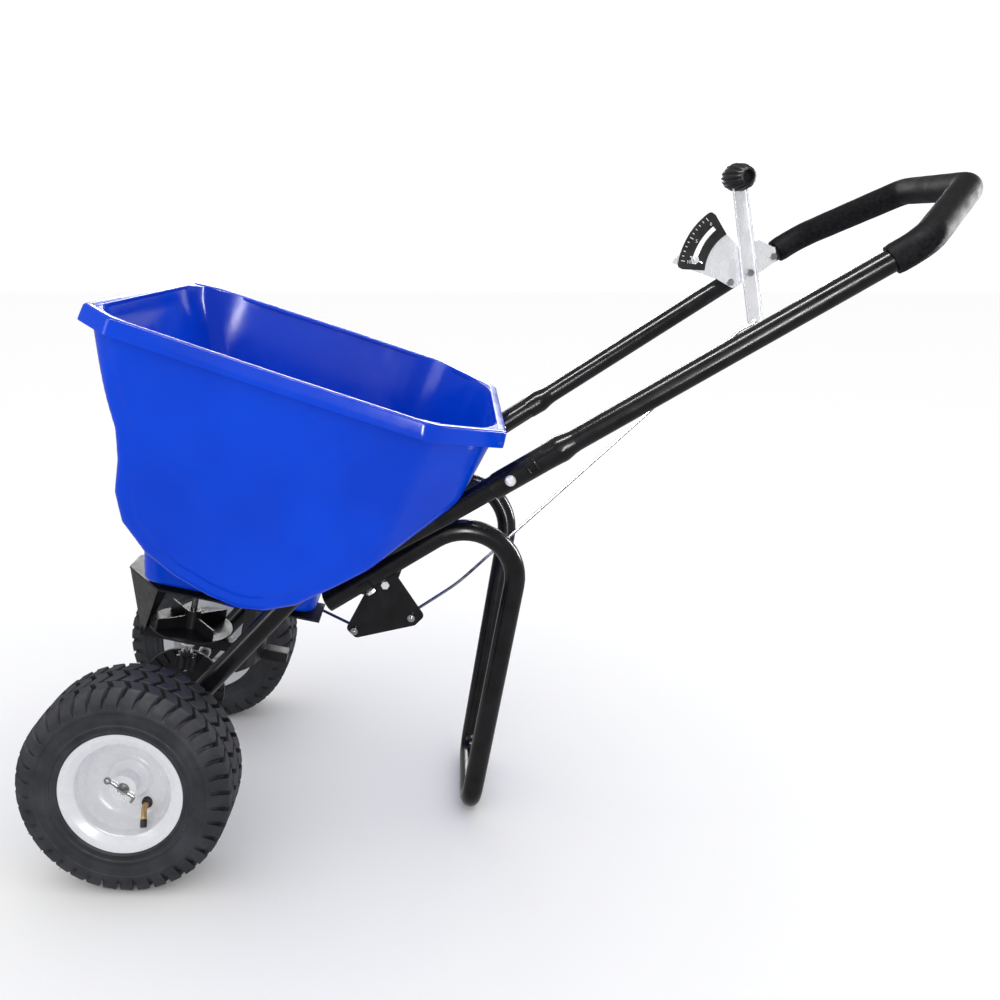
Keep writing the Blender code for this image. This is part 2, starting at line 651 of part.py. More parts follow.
def trough(inset):
    """The central well under the tub, ending in the flat base over the gate, in the drive frame."""
    rings = []
    for q, front, rear, half in ((BASE_HEIGHT, -0.070, 0.226, 0.098), (BASE_HEIGHT + 0.05, -0.086, 0.226, 0.118),
                                 (BASE_HEIGHT + 0.105, -0.094, 0.205, 0.140)):
        corners = [(front + inset, half - inset), (rear - inset, half - inset), (rear - inset, inset - half),
                   (front + inset, inset - half)]
        height = q + inset if q == BASE_HEIGHT else q
        rings.append([Vector((p, y, height)) for p, y in rounded_outline(corners, [0.018] * 4, 3)])
    return loft(rings)


def make_hopper():
    shell = link_mesh("hopper", chamfer_corners(hopper_solid(0.0, RIM_HEIGHT - 0.0015), 0.0), "blue_poly", LEVEL)
    boolean(shell, link_mesh("trough_outside", trough(0.0), "blue_poly", DRIVE), "UNION")
    shell = bake(shell)
    inside = link_mesh("tub_inside", chamfer_corners(hopper_solid(WALL, RIM_HEIGHT + 0.02), WALL), "blue_poly", LEVEL)
    boolean(inside, link_mesh("trough_inside", trough(WALL), "blue_poly", DRIVE), "UNION")
    boolean(shell, bake(inside))
    boolean(shell, link_mesh("hopper_rim", make_rim(), "blue_poly", LEVEL), "UNION")
    port = prism([(0.034, -0.036), (0.080, -0.045), (0.080, 0.045), (0.034, 0.036)], 0.2, 0.26)
    boolean(shell, link_mesh("outlet_port", port, "zinc", DRIVE))
    boolean(shell, link_mesh("hopper_shaft_hole", rod_mesh(SHAFT_RADIUS + 0.001, 0.2, 0.26, 16), "zinc", DRIVE))
    return shell


def make_gate():
    """Sliding plate under the hopper's base, with a turned-down tab that the gate rod hooks into."""
    low = PLATE_TOP + 0.0009
    outline = [(0.012, -0.055), (0.205, -0.055), (0.205, 0.055), (0.012, 0.055)]
    gate = link_mesh("shutoff_gate", prism(outline, low, low + GATE_THICKNESS), "zinc", DRIVE)
    tab = box_mesh((0.0025, 0.016, 0.036), (0.2085, -0.012, low - 0.0160))
    neck = box_mesh((0.009, 0.016, GATE_THICKNESS), (0.2055, -0.012, low + GATE_THICKNESS / 2))
    boolean(gate, link_mesh("gate_neck", neck, "zinc", DRIVE), "UNION")
    boolean(gate, link_mesh("gate_tab", tab, "zinc", DRIVE), "UNION")
    slot = box_mesh((0.02, 0.0085, 0.0215), (0.2085, -0.012, PLATE_TOP - 0.018))
    boolean(gate, link_mesh("gate_rod_slot", slot, "zinc", DRIVE))
    return gate


# ---------------------------------------------------------------- frame, stand and handle


def upper_line(x):
    """A point on the right-hand centre line shared by the frame tube's top end and the handle."""
    ahead = x - HANDLE_JOINT.x
    return Vector((x, HANDLE_JOINT.y + ahead * tan(SPLAY), HANDLE_JOINT.z + ahead * 0.63))


def frame_tube_path():
    foot = Vector((0.0, 0.186, WHEEL_RADIUS))
    lower = FRAME_BEND
    kink = upper_line(JOINT_START - 0.085)
    end = upper_line(SWAGE_X - 0.010)
    along = (lower - foot).normalized()
    start = foot - along * 0.017
    bend = rounded_path([foot + along * 0.060, lower, kink, end], [0.090, 0.100], 5)
    return [start, foot + along * 0.020, foot + along * 0.032, foot + along * 0.044] + bend


def make_frame_tube(name, side):
    """Frame tube from the axle to the handle joint. Its foot is pressed flat and drilled."""
    path = [place(*point) for point in frame_tube_path()]
    flat_until = (path[0] - place(0, 0.186, WHEEL_RADIUS)).length * 2 + 0.004

    def squash(index):
        run = (path[index] - path[0]).length
        blend = max(0.0, min(1.0, (run - flat_until) / 0.034))
        return 1.32 - 0.32 * blend, 0.26 + 0.74 * blend

    bm = hollow_tube(path, TUBE_RADIUS, TUBE_WALL, squash=squash)
    if side < 0:
        bm = mirrored(bm)
    tube = link_mesh(f"{name}_frame_tube", bm, "black_paint")
    hole = along_y(rod_mesh(0.0128, -0.03, 0.03, 20))
    boolean(tube, link_mesh(f"{name}_axle_hole", hole, "zinc", None, place(0, side * 0.186, WHEEL_RADIUS)))
    bushing = [(AXLE_RADIUS + FIT, -0.009), (0.0124, -0.009), (0.0124, 0.0060), (0.0165, 0.0060),
               (0.0165, 0.0085), (AXLE_RADIUS + FIT, 0.0085)]
    link_mesh(f"{name}_axle_bushing", turn(turned(bushing, 20), side * -pi / 2, "X"), "nylon", None,
              place(0, side * 0.186, WHEEL_RADIUS))
    return tube


def stand_path():
    corner = Vector((0.6265, STAND_Y, 0.6116))
    start = Vector((0.2935, STAND_Y, 0.4035))
    leg = Vector((0.5265, STAND_FOOT_Y, TUBE_RADIUS))
    half = [start, corner, leg]
    full = half + [Vector((p.x, -p.y, p.z)) for p in reversed(half)]
    return rounded_path(full, [0.085, 0.040, 0.040, 0.085], 5)


def make_stand():
    path = [place(*point) for point in stand_path()]
    return link_mesh("stand", hollow_tube(path, TUBE_RADIUS, TUBE_WALL), "black_paint")


def handle_path():
    side = [upper_line(SWAGE_X + 0.004), upper_line(GRIP_BEND_X), GRIP_BAR.copy()]
    full = side + [Vector((p.x, -p.y, p.z)) for p in reversed(side)]
    return rounded_path(full, [0.070, 0.046, 0.046, 0.070], 4)


def make_handle():
    """Handle loop. Each lower end is pressed into a scoop that wraps the outside of the frame tube."""
    path = [place(*point) for point in handle_path()]
    tube = link_mesh("handle_tube", hollow_tube(path, TUBE_RADIUS, TUBE_WALL), "black_paint")
    reach = (upper_line(SWAGE_X + 0.012) - upper_line(JOINT_START)).length
    for name, side in SIDES:
        start = upper_line(JOINT_START)
        end = upper_line(SWAGE_X + 0.012)
        rings = []
        sheet = 0.0024
        inner_radius = TUBE_RADIUS + 0.0008
        along = (end - start).normalized()
        outward = Vector((0, 1, 0))
        outward = (outward - along * outward.dot(along)).normalized()
        up = along.cross(outward)
        for run in (0.0, 0.012, reach - 0.003):
            spread = radians(66 if run == 0.0 else 82)
            flare = 0.0012 if run == 0.0 else 0.0
            arc = []
            for radius, direction in ((inner_radius + flare + sheet, 1), (inner_radius + flare, -1)):
                for i in range(9):
                    angle = direction * (-spread + 2 * spread * i / 8)
                    arc.append(start + along * run + outward * (radius * cos(angle)) + up * (radius * sin(angle)))
            rings.append([place(p.x, side * p.y, p.z) for p in arc])
        boolean(tube, link_mesh(f"{name}_handle_scoop", loft(rings), "black_paint"), "UNION")
        collar = [end - along * 0.0087, end + along * 0.0064]
        band = hollow_tube([place(p.x, side * p.y, p.z) for p in collar], TUBE_RADIUS + 0.0040, 0.0047)
        boolean(tube, link_mesh(f"{name}_swage", band, "black_paint"), "UNION")
    return tube


def grip_path():
    side = [upper_line(GRIP_START_X), upper_line(GRIP_BEND_X), GRIP_BAR.copy()]
    full = side + [Vector((p.x, -p.y, p.z)) for p in reversed(side)]
    return rounded_path(full, [0.070, 0.046, 0.046, 0.070], 4)


def make_grip():
    path = [place(*point) for point in grip_path()]
    outer = sweep_rings(path, GRIP_RADIUS, TUBE_SIDES)
    inner = sweep_rings(path, TUBE_RADIUS + 0.0006, TUBE_SIDES)
    link_mesh("foam_grip", loft(outer + inner[::-1], closed=True), "foam")


def make_bolt(name, location, direction, length, radius=0.004, holes=(), head=0.0085, domed=False):
    """direction points from the head to the nut. Each object in holes is drilled for the shank."""
    turned_to = Vector((0, 0, 1)).rotation_difference(Vector(direction).normalized()).to_euler()
    if domed:
        top = stacked([(head * 0.45, -0.0055), (head * 0.85, -0.0035), (head, 0.0)])
    else:
        top = rod_mesh(head, -0.0045, 0.0, 6)
    nut = rod_mesh(head * 0.9, length, length + 0.005, 6)
    shank = rod_mesh(radius, -0.002, length + 0.0065, 10)
    bolt = link_mesh(name, shank, "zinc", None, location, turned_to)
    boolean(bolt, link_mesh(f"{name}_head", top, "zinc", None, location, turned_to), "UNION")
    boolean(bolt, link_mesh(f"{name}_nut", nut, "zinc", None, location, turned_to), "UNION")
    for obj in holes:
        drill = rod_mesh(radius + FIT, -0.004, length + 0.004, 10)
        boolean(obj, link_mesh(f"{name}_hole_{obj.name}", drill, "zinc", None, location, turned_to))
    return bolt


def make_joint_bolts(handle, tubes):
    """One bolt at each side holds the handle's scoop to the frame tube."""
    for name, side in SIDES:
        centre = upper_line(0.585)
        along = (upper_line(0.6) - upper_line(0.58)).normalized()
        outward = Vector((0, 1, 0))
        outward = (outward - along * outward.dot(along)).normalized()
        head_at = centre + outward * (TUBE_RADIUS + 0.0033)
        make_bolt(f"{name}_handle_bolt", place(head_at.x, side * head_at.y, head_at.z),
                  (-outward.x, -side * outward.y, -outward.z), 2 * TUBE_RADIUS + 0.0040,
                  holes=(handle, tubes[name]), head=0.0088, domed=True)


def make_saddles(stand, tubes):
    """Saddle brackets and bolts that clamp the stand's front ends under the frame tubes."""
    across = Vector((sin(SLOPE), 0, -cos(SLOPE)))
    for name, side in SIDES:
        x = 0.352
        stand_z = 0.4035 + (x - 0.2935) * 0.625
        centre = Vector((x, side * STAND_Y, stand_z))
        inner = TUBE_RADIUS + 0.0005
        outer = TUBE_RADIUS + 0.003
        section = []
        for radius, order in ((outer, range(9)), (inner, range(8, -1, -1))):
            for i in order:
                angle = pi + pi * i / 8
                section.append((radius * cos(angle), radius * sin(angle)))
        saddle = turn(prism(section, -0.011, 0.011), pi / 2, "Y")
        saddle = turn(saddle, pi / 2, "X")
        lean = (0, -SLOPE, 0)
        bracket = link_mesh(f"{name}_saddle_bracket", saddle, "black_paint", None,
                            place(centre.x, centre.y, centre.z), lean)
        head_at = centre + across * (outer + 0.0005)
        bolt_length = 2 * outer + 0.012
        make_bolt(f"{name}_stand_bolt", place(head_at.x, head_at.y, head_at.z), -across, bolt_length,
                  holes=(bracket, stand), head=0.0080)


# ---------------------------------------------------------------- control linkage


def crank_outline():
    """The bell crank's three-cornered plate, as (x, z) from its pivot."""
    rear = CRANK_REAR_PIN - CRANK_PIVOT
    front = CRANK_FRONT_PIN - CRANK_PIVOT
    corners = [(0.017, 0.016), (rear.x + 0.022, rear.z + 0.002), (rear.x + 0.006, rear.z - 0.014),
               (front.x + 0.002, front.z - 0.013), (front.x - 0.014, front.z + 0.003), (-0.020, 0.010)]
    return rounded_outline(corners, [0.008, 0.007, 0.007, 0.007, 0.007, 0.008], 3)


def make_crank():
    pivot = place(*CRANK_PIVOT)
    crank = link_mesh("bell_crank", plate_xz(crank_outline(), CRANK_THICKNESS), "black_paint", None, pivot)
    for name, pin in (("rear", CRANK_REAR_PIN), ("front", CRANK_FRONT_PIN)):
        drill = along_y(rod_mesh(0.0048, -0.01, 0.01, 14))
        boolean(crank, link_mesh(f"crank_{name}_hole", drill, "zinc", None, place(*pin)))
        clip = hairpin_mesh()
        behind = Vector(pin) + Vector((0, -0.0058, 0))
        link_mesh(f"{name}_hairpin_clip", clip, "zinc", None, place(*behind))
    tab_y = CRANK_PIVOT.y - CRANK_THICKNESS / 2 - 0.0023
    tab = plate_xz(rounded_outline([(-0.013, -0.012), (0.013, -0.012), (0.030, 0.033), (-0.006, 0.020)],
                                   [0.008, 0.008, 0.004, 0.004], 3), 0.003)
    bracket = link_mesh("crank_bracket", tab, "black_paint", None, place(CRANK_PIVOT.x, tab_y, CRANK_PIVOT.z))
    make_bolt("crank_pivot_bolt", place(CRANK_PIVOT.x, tab_y - 0.002, CRANK_PIVOT.z), (0, 1, 0), 0.0098,
              0.0035, holes=(crank, bracket), head=0.0070)
    return bracket


def hairpin_mesh():
    """A wire ring clip that sits on the rod's end just outside the crank."""
    return along_y(turned([(0.0031, -0.001), (0.0062, -0.001), (0.0062, 0.001), (0.0031, 0.001)], 14))


def hook_point():
    """Where the control rod hooks into the lever's lower end."""
    lower = Vector((sin(LEVER_LEAN) * LEVER_HOOK, LEVER_Y, -cos(LEVER_LEAN) * LEVER_HOOK))
    lower.rotate(Matrix.Rotation(SPLAY, 3, "Z"))
    return LEVER_PIVOT + lower


def make_rods():
    rear = CRANK_REAR_PIN
    hook = hook_point()
    crank_end = [Vector((rear.x, rear.y - 0.012, rear.z)), Vector((rear.x, rear.y + 0.020, rear.z)),
                 Vector((rear.x + 0.075, rear.y + 0.022, rear.z + 0.050))]
    far_end = [Vector((hook.x - 0.0300, hook.y - 0.013, hook.z - 0.0150)),
               Vector((hook.x, hook.y - 0.011, hook.z)), Vector((hook.x, hook.y + 0.016, hook.z))]
    path = rounded_path(crank_end + far_end, [0.008, 0.10, 0.02, 0.008], 5)
    link_mesh("control_rod", solid_wire([place(*p) for p in path], ROD_RADIUS), "zinc")
    front = CRANK_FRONT_PIN
    tab = DRIVE.matrix_basis @ Vector((0.2085, -0.012, PLATE_TOP - 0.018))
    tab.x -= AXLE_X
    path = rounded_path([Vector((front.x, front.y - 0.012, front.z)), Vector((front.x, front.y + 0.016, front.z)),
                         Vector((tab.x + 0.012, tab.y, tab.z)), Vector((tab.x - 0.014, tab.y, tab.z))],
                        [0.008, 0.012], 4)
    link_mesh("gate_rod", solid_wire([place(*p) for p in path], ROD_RADIUS), "zinc")


def lever_outline():
    half = LEVER_WIDTH / 2
    corners = [(-half, -LEVER_DOWN), (half, -LEVER_DOWN), (half, LEVER_UP), (-half, LEVER_UP)]
    return rounded_outline(corners, [0.012, 0.012, 0.003, 0.003], 4)


def make_lever():
    """Lever, knob, bracket, scale and stop, in a frame at the lever's pivot, square to the handle tube."""
    lever = link_mesh("control_lever", plate_xz(lever_outline(), 0.004), "zinc", LEVER_FRAME,
                      (0, LEVER_Y, 0), (0, -LEVER_LEAN, 0))
    hook_drill = along_y(rod_mesh(HOOK_HOLE_RADIUS, -0.01, 0.01, 16))
    boolean(lever, link_mesh("lever_hook_hole", hook_drill, "zinc", LEVER_FRAME,
                             (sin(LEVER_LEAN) * LEVER_HOOK, LEVER_Y, -cos(LEVER_LEAN) * LEVER_HOOK)))
    knob = stacked([(0.014, -0.030), (0.021, -0.027), (0.0262, -0.010), (0.0268, 0.004), (0.0235, 0.018),
                    (0.016, 0.025)], 24)
    top = LEVER_UP + 0.004
    knob_at = (-sin(LEVER_LEAN) * top, LEVER_Y, cos(LEVER_LEAN) * top)
    knob_obj = link_mesh("lever_knob", turn(knob, -pi / 2, "X"), "black_plastic", LEVER_FRAME, knob_at)
    slot = box_mesh((LEVER_WIDTH + 0.0008, 0.0048, 0.05), (0, 0, -0.025 + LEVER_UP - top + 0.0006))
    boolean(knob_obj, link_mesh("knob_slot", slot, "zinc", LEVER_FRAME, knob_at, (0, -LEVER_LEAN, 0)))
    corners = [(-0.150, 0.020), (-0.070, 0.095), (-0.020, 0.050), (0.018, 0.062), (0.052, 0.046), (0.056, 0.022),
               (0.010, -0.010), (-0.028, -0.030), (-0.060, -0.012)]
    radii = [0.003, 0.004, 0.010, 0.012, 0.006, 0.006, 0.020, 0.008, 0.010]
    bracket = link_mesh("lever_bracket", plate_xz(rounded_outline(corners, radii, 3), 0.003), "zinc", LEVER_FRAME)
    scale = arc_plate(SCALE_INNER, SCALE_OUTER, radians(122), radians(177))
    plate = link_mesh("scale_plate", plate_xz(scale, 0.002), "black_plastic", LEVER_FRAME, (0, -0.0030, 0))
    window = arc_plate(SCALE_SLOT - 0.0045, SCALE_SLOT + 0.0045, radians(129), radians(171), 10)
    boolean(plate, link_mesh("scale_slot", plate_xz(window, 0.02), "zinc", LEVER_FRAME))
    boolean(bracket, link_mesh("bracket_slot", plate_xz(window, 0.02), "zinc", LEVER_FRAME))
    stop_at = (SCALE_SLOT * cos(STOP_ANGLE), 0, SCALE_SLOT * sin(STOP_ANGLE))
    screw = rod_mesh(0.0030, -0.0030, 0.0155, 12)
    stop = link_mesh("stop_wing_nut", along_y(screw), "zinc", LEVER_FRAME, stop_at)
    clamp = rod_mesh(0.0075, 0.0044, 0.0072, 16)
    boolean(stop, link_mesh("stop_washer", along_y(clamp), "zinc", LEVER_FRAME, stop_at), "UNION")
    boss = stacked([(0.0062, 0.0071), (0.0052, 0.0135)], 14)
    boolean(stop, link_mesh("stop_boss", along_y(boss), "zinc", LEVER_FRAME, stop_at), "UNION")
    for direction in (-1, 1):
        outline = [(0.003 * direction, 0.008), (0.014 * direction, 0.011), (0.014 * direction, 0.019),
                   (0.0035 * direction, 0.0125)]
        wing = prism(rounded_outline(outline, [0.001, 0.003, 0.003, 0.001], 3), -0.0012, 0.0012)
        wing = turn(wing, radians(180), "X")
        boolean(stop, link_mesh(f"stop_wing_{direction}", wing, "zinc", LEVER_FRAME, stop_at, (0, radians(28), 0)),
                "UNION")
    backer = rod_mesh(0.0070, -0.0046, -0.0019, 14)
    boolean(stop, link_mesh("stop_back_head", along_y(backer), "zinc", LEVER_FRAME, stop_at), "UNION")
    return lever, bracket


def lever_bolt(name, local, holes, length, head=0.0072, start=-0.0018, handle=None):
    """A bolt through the lever assembly, at a local (x, z), from the near side outwards."""
    spot = Vector((local[0], start, local[1]))
    spot.rotate(Matrix.Rotation(SPLAY, 3, "Z"))
    where = LEVER_PIVOT + spot
    outward = Vector((-sin(SPLAY), cos(SPLAY), 0))
    drilled = tuple(holes) + ((handle,) if handle else ())
    make_bolt(name, place(*where), outward, length, 0.003, holes=drilled, head=head)


def main():
    for name, side in SIDES:
        make_wheel(name, side)
    axle = make_axle()
    make_drive_gear(axle)
    make_impeller_shaft()
    make_impeller()
    make_impeller_guard()
    make_hopper()
    make_gate()
    tubes = {name: make_frame_tube(name, side) for name, side in SIDES}
    stand = make_stand()
    handle = make_handle()
    make_grip()
    make_joint_bolts(handle, tubes)
    make_saddles(stand, tubes)
    make_crank()
    make_rods()
    lever, bracket = make_lever()
    bolt_length = 2 * TUBE_RADIUS + 0.006
    lever_bolt("lever_pivot_bolt", (0, 0), (lever, bracket), bolt_length + 0.010, start=-0.0118, handle=handle)
    lever_bolt("lower_bracket_bolt", (-0.034, -0.018), (bracket,), bolt_length, handle=handle)
    lever_bolt("upper_bracket_bolt", (0.048, 0.030), (bracket,), bolt_length, handle=handle)
    weld(handle)


main()
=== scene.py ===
"""The looks of a walk-behind broadcast spreader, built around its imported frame.

Metres, +Z up. Lengths follow the frame's own layout: x backwards from the axle, z from the ground.
"""

import json
import random
from math import acos, cos, hypot, pi, radians, sin, tan

import bmesh
import bpy
import numpy as np
from mathutils import Matrix, Vector


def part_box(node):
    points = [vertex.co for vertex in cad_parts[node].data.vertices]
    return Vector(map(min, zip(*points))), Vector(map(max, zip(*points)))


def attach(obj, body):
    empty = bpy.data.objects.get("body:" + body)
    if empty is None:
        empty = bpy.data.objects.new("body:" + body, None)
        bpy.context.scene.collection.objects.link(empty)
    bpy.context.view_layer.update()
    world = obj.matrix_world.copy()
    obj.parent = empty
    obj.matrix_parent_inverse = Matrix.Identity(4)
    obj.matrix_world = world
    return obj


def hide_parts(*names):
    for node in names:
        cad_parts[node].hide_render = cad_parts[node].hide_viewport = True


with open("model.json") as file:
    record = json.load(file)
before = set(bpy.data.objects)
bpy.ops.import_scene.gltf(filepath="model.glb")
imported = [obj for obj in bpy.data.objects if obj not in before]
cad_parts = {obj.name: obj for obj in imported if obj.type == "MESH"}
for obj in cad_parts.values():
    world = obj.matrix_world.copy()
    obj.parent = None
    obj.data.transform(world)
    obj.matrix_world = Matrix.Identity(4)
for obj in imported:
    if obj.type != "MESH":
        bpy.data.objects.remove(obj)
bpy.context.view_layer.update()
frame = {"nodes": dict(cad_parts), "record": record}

# The axle's line and the wheels, from the frame
AXLE_LOW, AXLE_HIGH = (Vector(corner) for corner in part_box("axle"))
AXLE_X = (AXLE_LOW.x + AXLE_HIGH.x) / 2
TYRE_LOW, TYRE_HIGH = (Vector(corner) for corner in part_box("left_tyre"))
WHEEL_RADIUS = (TYRE_HIGH.z - TYRE_LOW.z) / 2
TYRE_WIDTH = TYRE_HIGH.y - TYRE_LOW.y
TRACK = -(TYRE_HIGH.y + TYRE_LOW.y)
RIM_RADIUS = 0.0955
RIM_WIDTH = 0.108
BEAD_RADIUS = 0.0785
HUB_RADIUS = 0.0165
HUB_LENGTH = 0.086
TYRE_STEPS = 144
RIM_STEPS = 128

# Tread: blocks per row, groove sizes, and the rows as (low edge, high edge, lag in pitches)
TREAD_PITCHES = 38
TREAD_DEPTH = 0.0080
TREAD_GROOVE = 0.0078
TREAD_ROWS = ((-0.0565, -0.0205, 0.0), (-0.0175, 0.0175, 0.5), (0.0205, 0.0565, 0.0))
BLOCK_CUTS = 8
BLOCK_CHAMFER = 0.0009
ZIGZAG_REACH = 0.0115
ZIGZAG_STEP = 0.0185
CROWN_DROP = 0.0018
SHOULDER_START = 0.72
SHOULDER_DROP = 0.02232
HAIR_COUNT = 90

# Tubes
TUBE_RADIUS = 0.017
TUBE_WALL = 0.002
TUBE_SIDES = 32
SPLAY = radians(6.66)
HANDLE_JOINT = Vector((0.61, 0.202, 0.64))
FRAME_FOOT = Vector((0.0, 0.186, WHEEL_RADIUS))
FRAME_BEND = Vector((0.245, 0.19, 0.428))
JOINT_START = 0.557
SWAGE_X = 0.652
GRIP_RADIUS = 0.0235
GRIP_START_X = 1.112
GRIP_BEND_X = 1.155
GRIP_BAR = Vector((1.283, 0.112, 1.064))
GRIP_SIDES = 40
UPPER_SLOPE = 0.63
SCOOP_SHEET = 0.0024
SCOOP_GAP = 0.0032
SPARE_HOLE_X = 0.618

# Hopper frame (u back, v up) and drive frame (p back, q up), both from the axle
HOPPER_TILT = radians(18.2)
DRIVE_TILT = radians(11)
RIM_HEIGHT = 0.686
RIM_FRONT = -0.262
RIM_REAR = 0.384
RIM_HALF_WIDTH = 0.343
FRONT_HALF = 0.288
REAR_HALF = 0.212
FRONT_CHAMFER = (0.055, 0.046)
REAR_CHAMFER = (0.112, 0.128)
CHAMFER_LEAN = 0.16
LIP = 0.012
LIP_DEPTH = 0.026
WALL = 0.0032
FLANK_SWELL = 0.0035
BASE_HEIGHT = 0.2365

# The tub's flat sides: half width at a low level, and how fast it grows upwards
FLANK_LEVEL = 0.305
FLANK_HALF = 0.270
FLANK_SLOPE = 0.148

# How softly the tub's surfaces meet: larger is rounder
EDGE_BLEND = 0.018
WELL_BLEND = 0.034
OUTER_FLARE = 0.006
INNER_FLARE = 0.045

# The tub's surface is found along rays from a point inside it
TUB_EYE = np.array([0.060, 0.0, 0.500])
TUB_TURNS = 440
TUB_LEVELS = 160
RAY_STEP = 0.006
RAY_STEPS = 75
RAY_HALVINGS = 14

# Lever
LEVER_PIVOT = Vector((1.053, 0.2346, 0.917))
LEVER_LEAN = radians(9.5)
LEVER_UP = 0.176
LEVER_DOWN = 0.104
LEVER_WIDTH = 0.030
LEVER_Y = -0.009
LEVER_HOOK = 0.094
HOOK_HOLE_RADIUS = 0.0056
PIVOT_HOLE_RADIUS = 0.0034
LEVER_SHEET = 0.0022
LEVER_DEPTH = 0.0085
KNOB_TURN = radians(14)
KNOB_RIBS = 14
KNOB_SIDES = 168
RIB_DEPTH = 0.0030

# Scale plate: a ring sector round the lever's pivot, in degrees and metres
SCALE_INNER = 0.085
SCALE_OUTER = 0.138
SCALE_SLOT = 0.108
SLOT_HALF = 0.0045
SCALE_NEAR = -0.0040
SCALE_FAR = -0.0020
SCALE_LOW = 122
SCALE_HIGH = 177
SLOT_LOW = 129
SLOT_HIGH = 171
TICK_START = 130
TICK_STEP = 4
TICK_COUNT = 11
TICKS_PER_NUMBER = 5
TICK_MARGIN = 0.0045
NUMBER_RADIUS = SCALE_SLOT + 0.0105
NUMBER_SIZE = 0.0085

# Studio: reflections see a darker room than the one that lights the machine
ROOM_LIGHT = 1.08
ROOM_REFLECTION = 0.45
FLOOR_HALF_SIZE = 14

# Area lights: name, place, target, width, height, watts, and whether they light surfaces.
# The strips that light no surfaces only show as highlights.
LIGHTS = (
    ("overhead_strip", (0.0, -0.7, 2.9), (0, 0, 0.6), 2.8, 0.2, 150, False),
    ("left_strip", (-2.5, -1.6, 1.6), (0, 0, 0.5), 0.9, 1.8, 30, False),
    ("rear_strip", (2.6, 1.2, 1.05), (-0.8, 0.3, 0.85), 0.24, 1.3, 80, False),
    ("front_strip", (0.45, -3.0, 0.95), (-0.8, 0.3, 0.85), 0.2, 1.3, 60, False),
    ("back_strip", (0.0, 3.2, 1.55), (-0.3, 0, 0.83), 3.4, 0.35, 60, False),
    ("front_fill", (-0.4, -3.4, 1.6), (0, 0, 0.5), 1.8, 1.8, 8, True),
)

# Camera: where it stands, its yaw, pitch and roll in radians, and its lens
CAMERA_PLACE = (0.5025, -1.6986, 1.0049)
CAMERA_ANGLES = (-0.0392313, 0.1448630, -0.0020172)
CAMERA_LENS = 36
CAMERA_SENSOR = 36
CAMERA_SHIFT = (0.0814, -0.1277)

SIDES = (("left", -1), ("right", 1))


def place(x, y, z):
    """A point given from the axle, in the frame's own place."""
    return Vector((x + AXLE_X, y, z))


# ---------------------------------------------------------------- materials


class Nodes:
    """A material's node tree with a few short ways to add to it."""

    def __init__(self, name, colour, roughness, metallic=0.0, specular=0.5):
        self.material = bpy.data.materials.new(name)
        self.material.use_nodes = True
        self.tree = self.material.node_tree
        self.shader = self.tree.nodes["Principled BSDF"]
        self.set("Base Color", (*colour, 1))
        self.set("Roughness", roughness)
        self.set("Metallic", metallic)
        self.set("Specular IOR Level", specular)
        self.coordinates = self.tree.nodes.new("ShaderNodeTexCoord").outputs["Object"]

    def set(self, socket, value):
        self.shader.inputs[socket].default_value = value

    def link(self, output, target):
        self.tree.links.new(output, target)

    def noise(self, scale, detail=4.0, stretch=None):
        node = self.tree.nodes.new("ShaderNodeTexNoise")
        node.inputs["Scale"].default_value = scale
        node.inputs["Detail"].default_value = detail
        self.link(self.stretched(stretch) if stretch else self.coordinates, node.inputs["Vector"])
        return node.outputs["Fac"]

    def stretched(self, factors):
        node = self.tree.nodes.new("ShaderNodeMapping")
        node.inputs["Scale"].default_value = factors
        self.link(self.coordinates, node.inputs["Vector"])
        return node.outputs["Vector"]

    def voronoi(self, scale):
        node = self.tree.nodes.new("ShaderNodeTexVoronoi")
        node.inputs["Scale"].default_value = scale
        self.link(self.coordinates, node.inputs["Vector"])
        return node.outputs["Distance"]

    def tint(self, value, low, high):
        """Base colour that runs from low to high with the value."""
        node = self.tree.nodes.new("ShaderNodeValToRGB")
        first, last = node.color_ramp.elements
        first.position, last.position = 0.35, 0.65
        first.color, last.color = (*low, 1), (*high, 1)
        self.link(value, node.inputs["Fac"])
        self.link(node.outputs["Color"], self.shader.inputs["Base Color"])

    def roughen(self, value, low, high):
        """Roughness that runs from low to high with the value."""
        node = self.tree.nodes.new("ShaderNodeMapRange")
        node.inputs["From Min"].default_value = 0.3
        node.inputs["From Max"].default_value = 0.7
        node.inputs["To Min"].default_value = low
        node.inputs["To Max"].default_value = high
        self.link(value, node.inputs["Value"])
        self.link(node.outputs["Result"], self.shader.inputs["Roughness"])

    def bump(self, value, strength, distance):
        node = self.tree.nodes.new("ShaderNodeBump")
        node.inputs["Strength"].default_value = strength
        node.inputs["Distance"].default_value = distance
        self.link(value, node.inputs["Height"])
        self.link(node.outputs["Normal"], self.shader.inputs["Normal"])


def make_blue_poly():
    """Glossy moulded polyethylene, a little uneven, with fine handling scuffs."""
    m = Nodes("blue_poly", (0.0, 0.050, 0.62), 0.16, specular=0.20)
    m.tint(m.noise(5.0, 2.0), (0.0, 0.044, 0.56), (0.0, 0.056, 0.66))
    m.roughen(m.noise(38.0, 6.0), 0.12, 0.21)
    m.bump(m.noise(14.0, 2.0), 0.12, 0.0010)
    return m.material


def make_black_paint():
    """Gloss powder coat with a faint orange peel."""
    m = Nodes("black_paint", (0.005, 0.005, 0.006), 0.15, specular=0.30)
    m.tint(m.noise(30.0), (0.003, 0.003, 0.004), (0.008, 0.008, 0.010))
    m.roughen(m.noise(60.0), 0.17, 0.26)
    m.bump(m.noise(90.0, 2.0), 0.06, 0.0003)
    return m.material


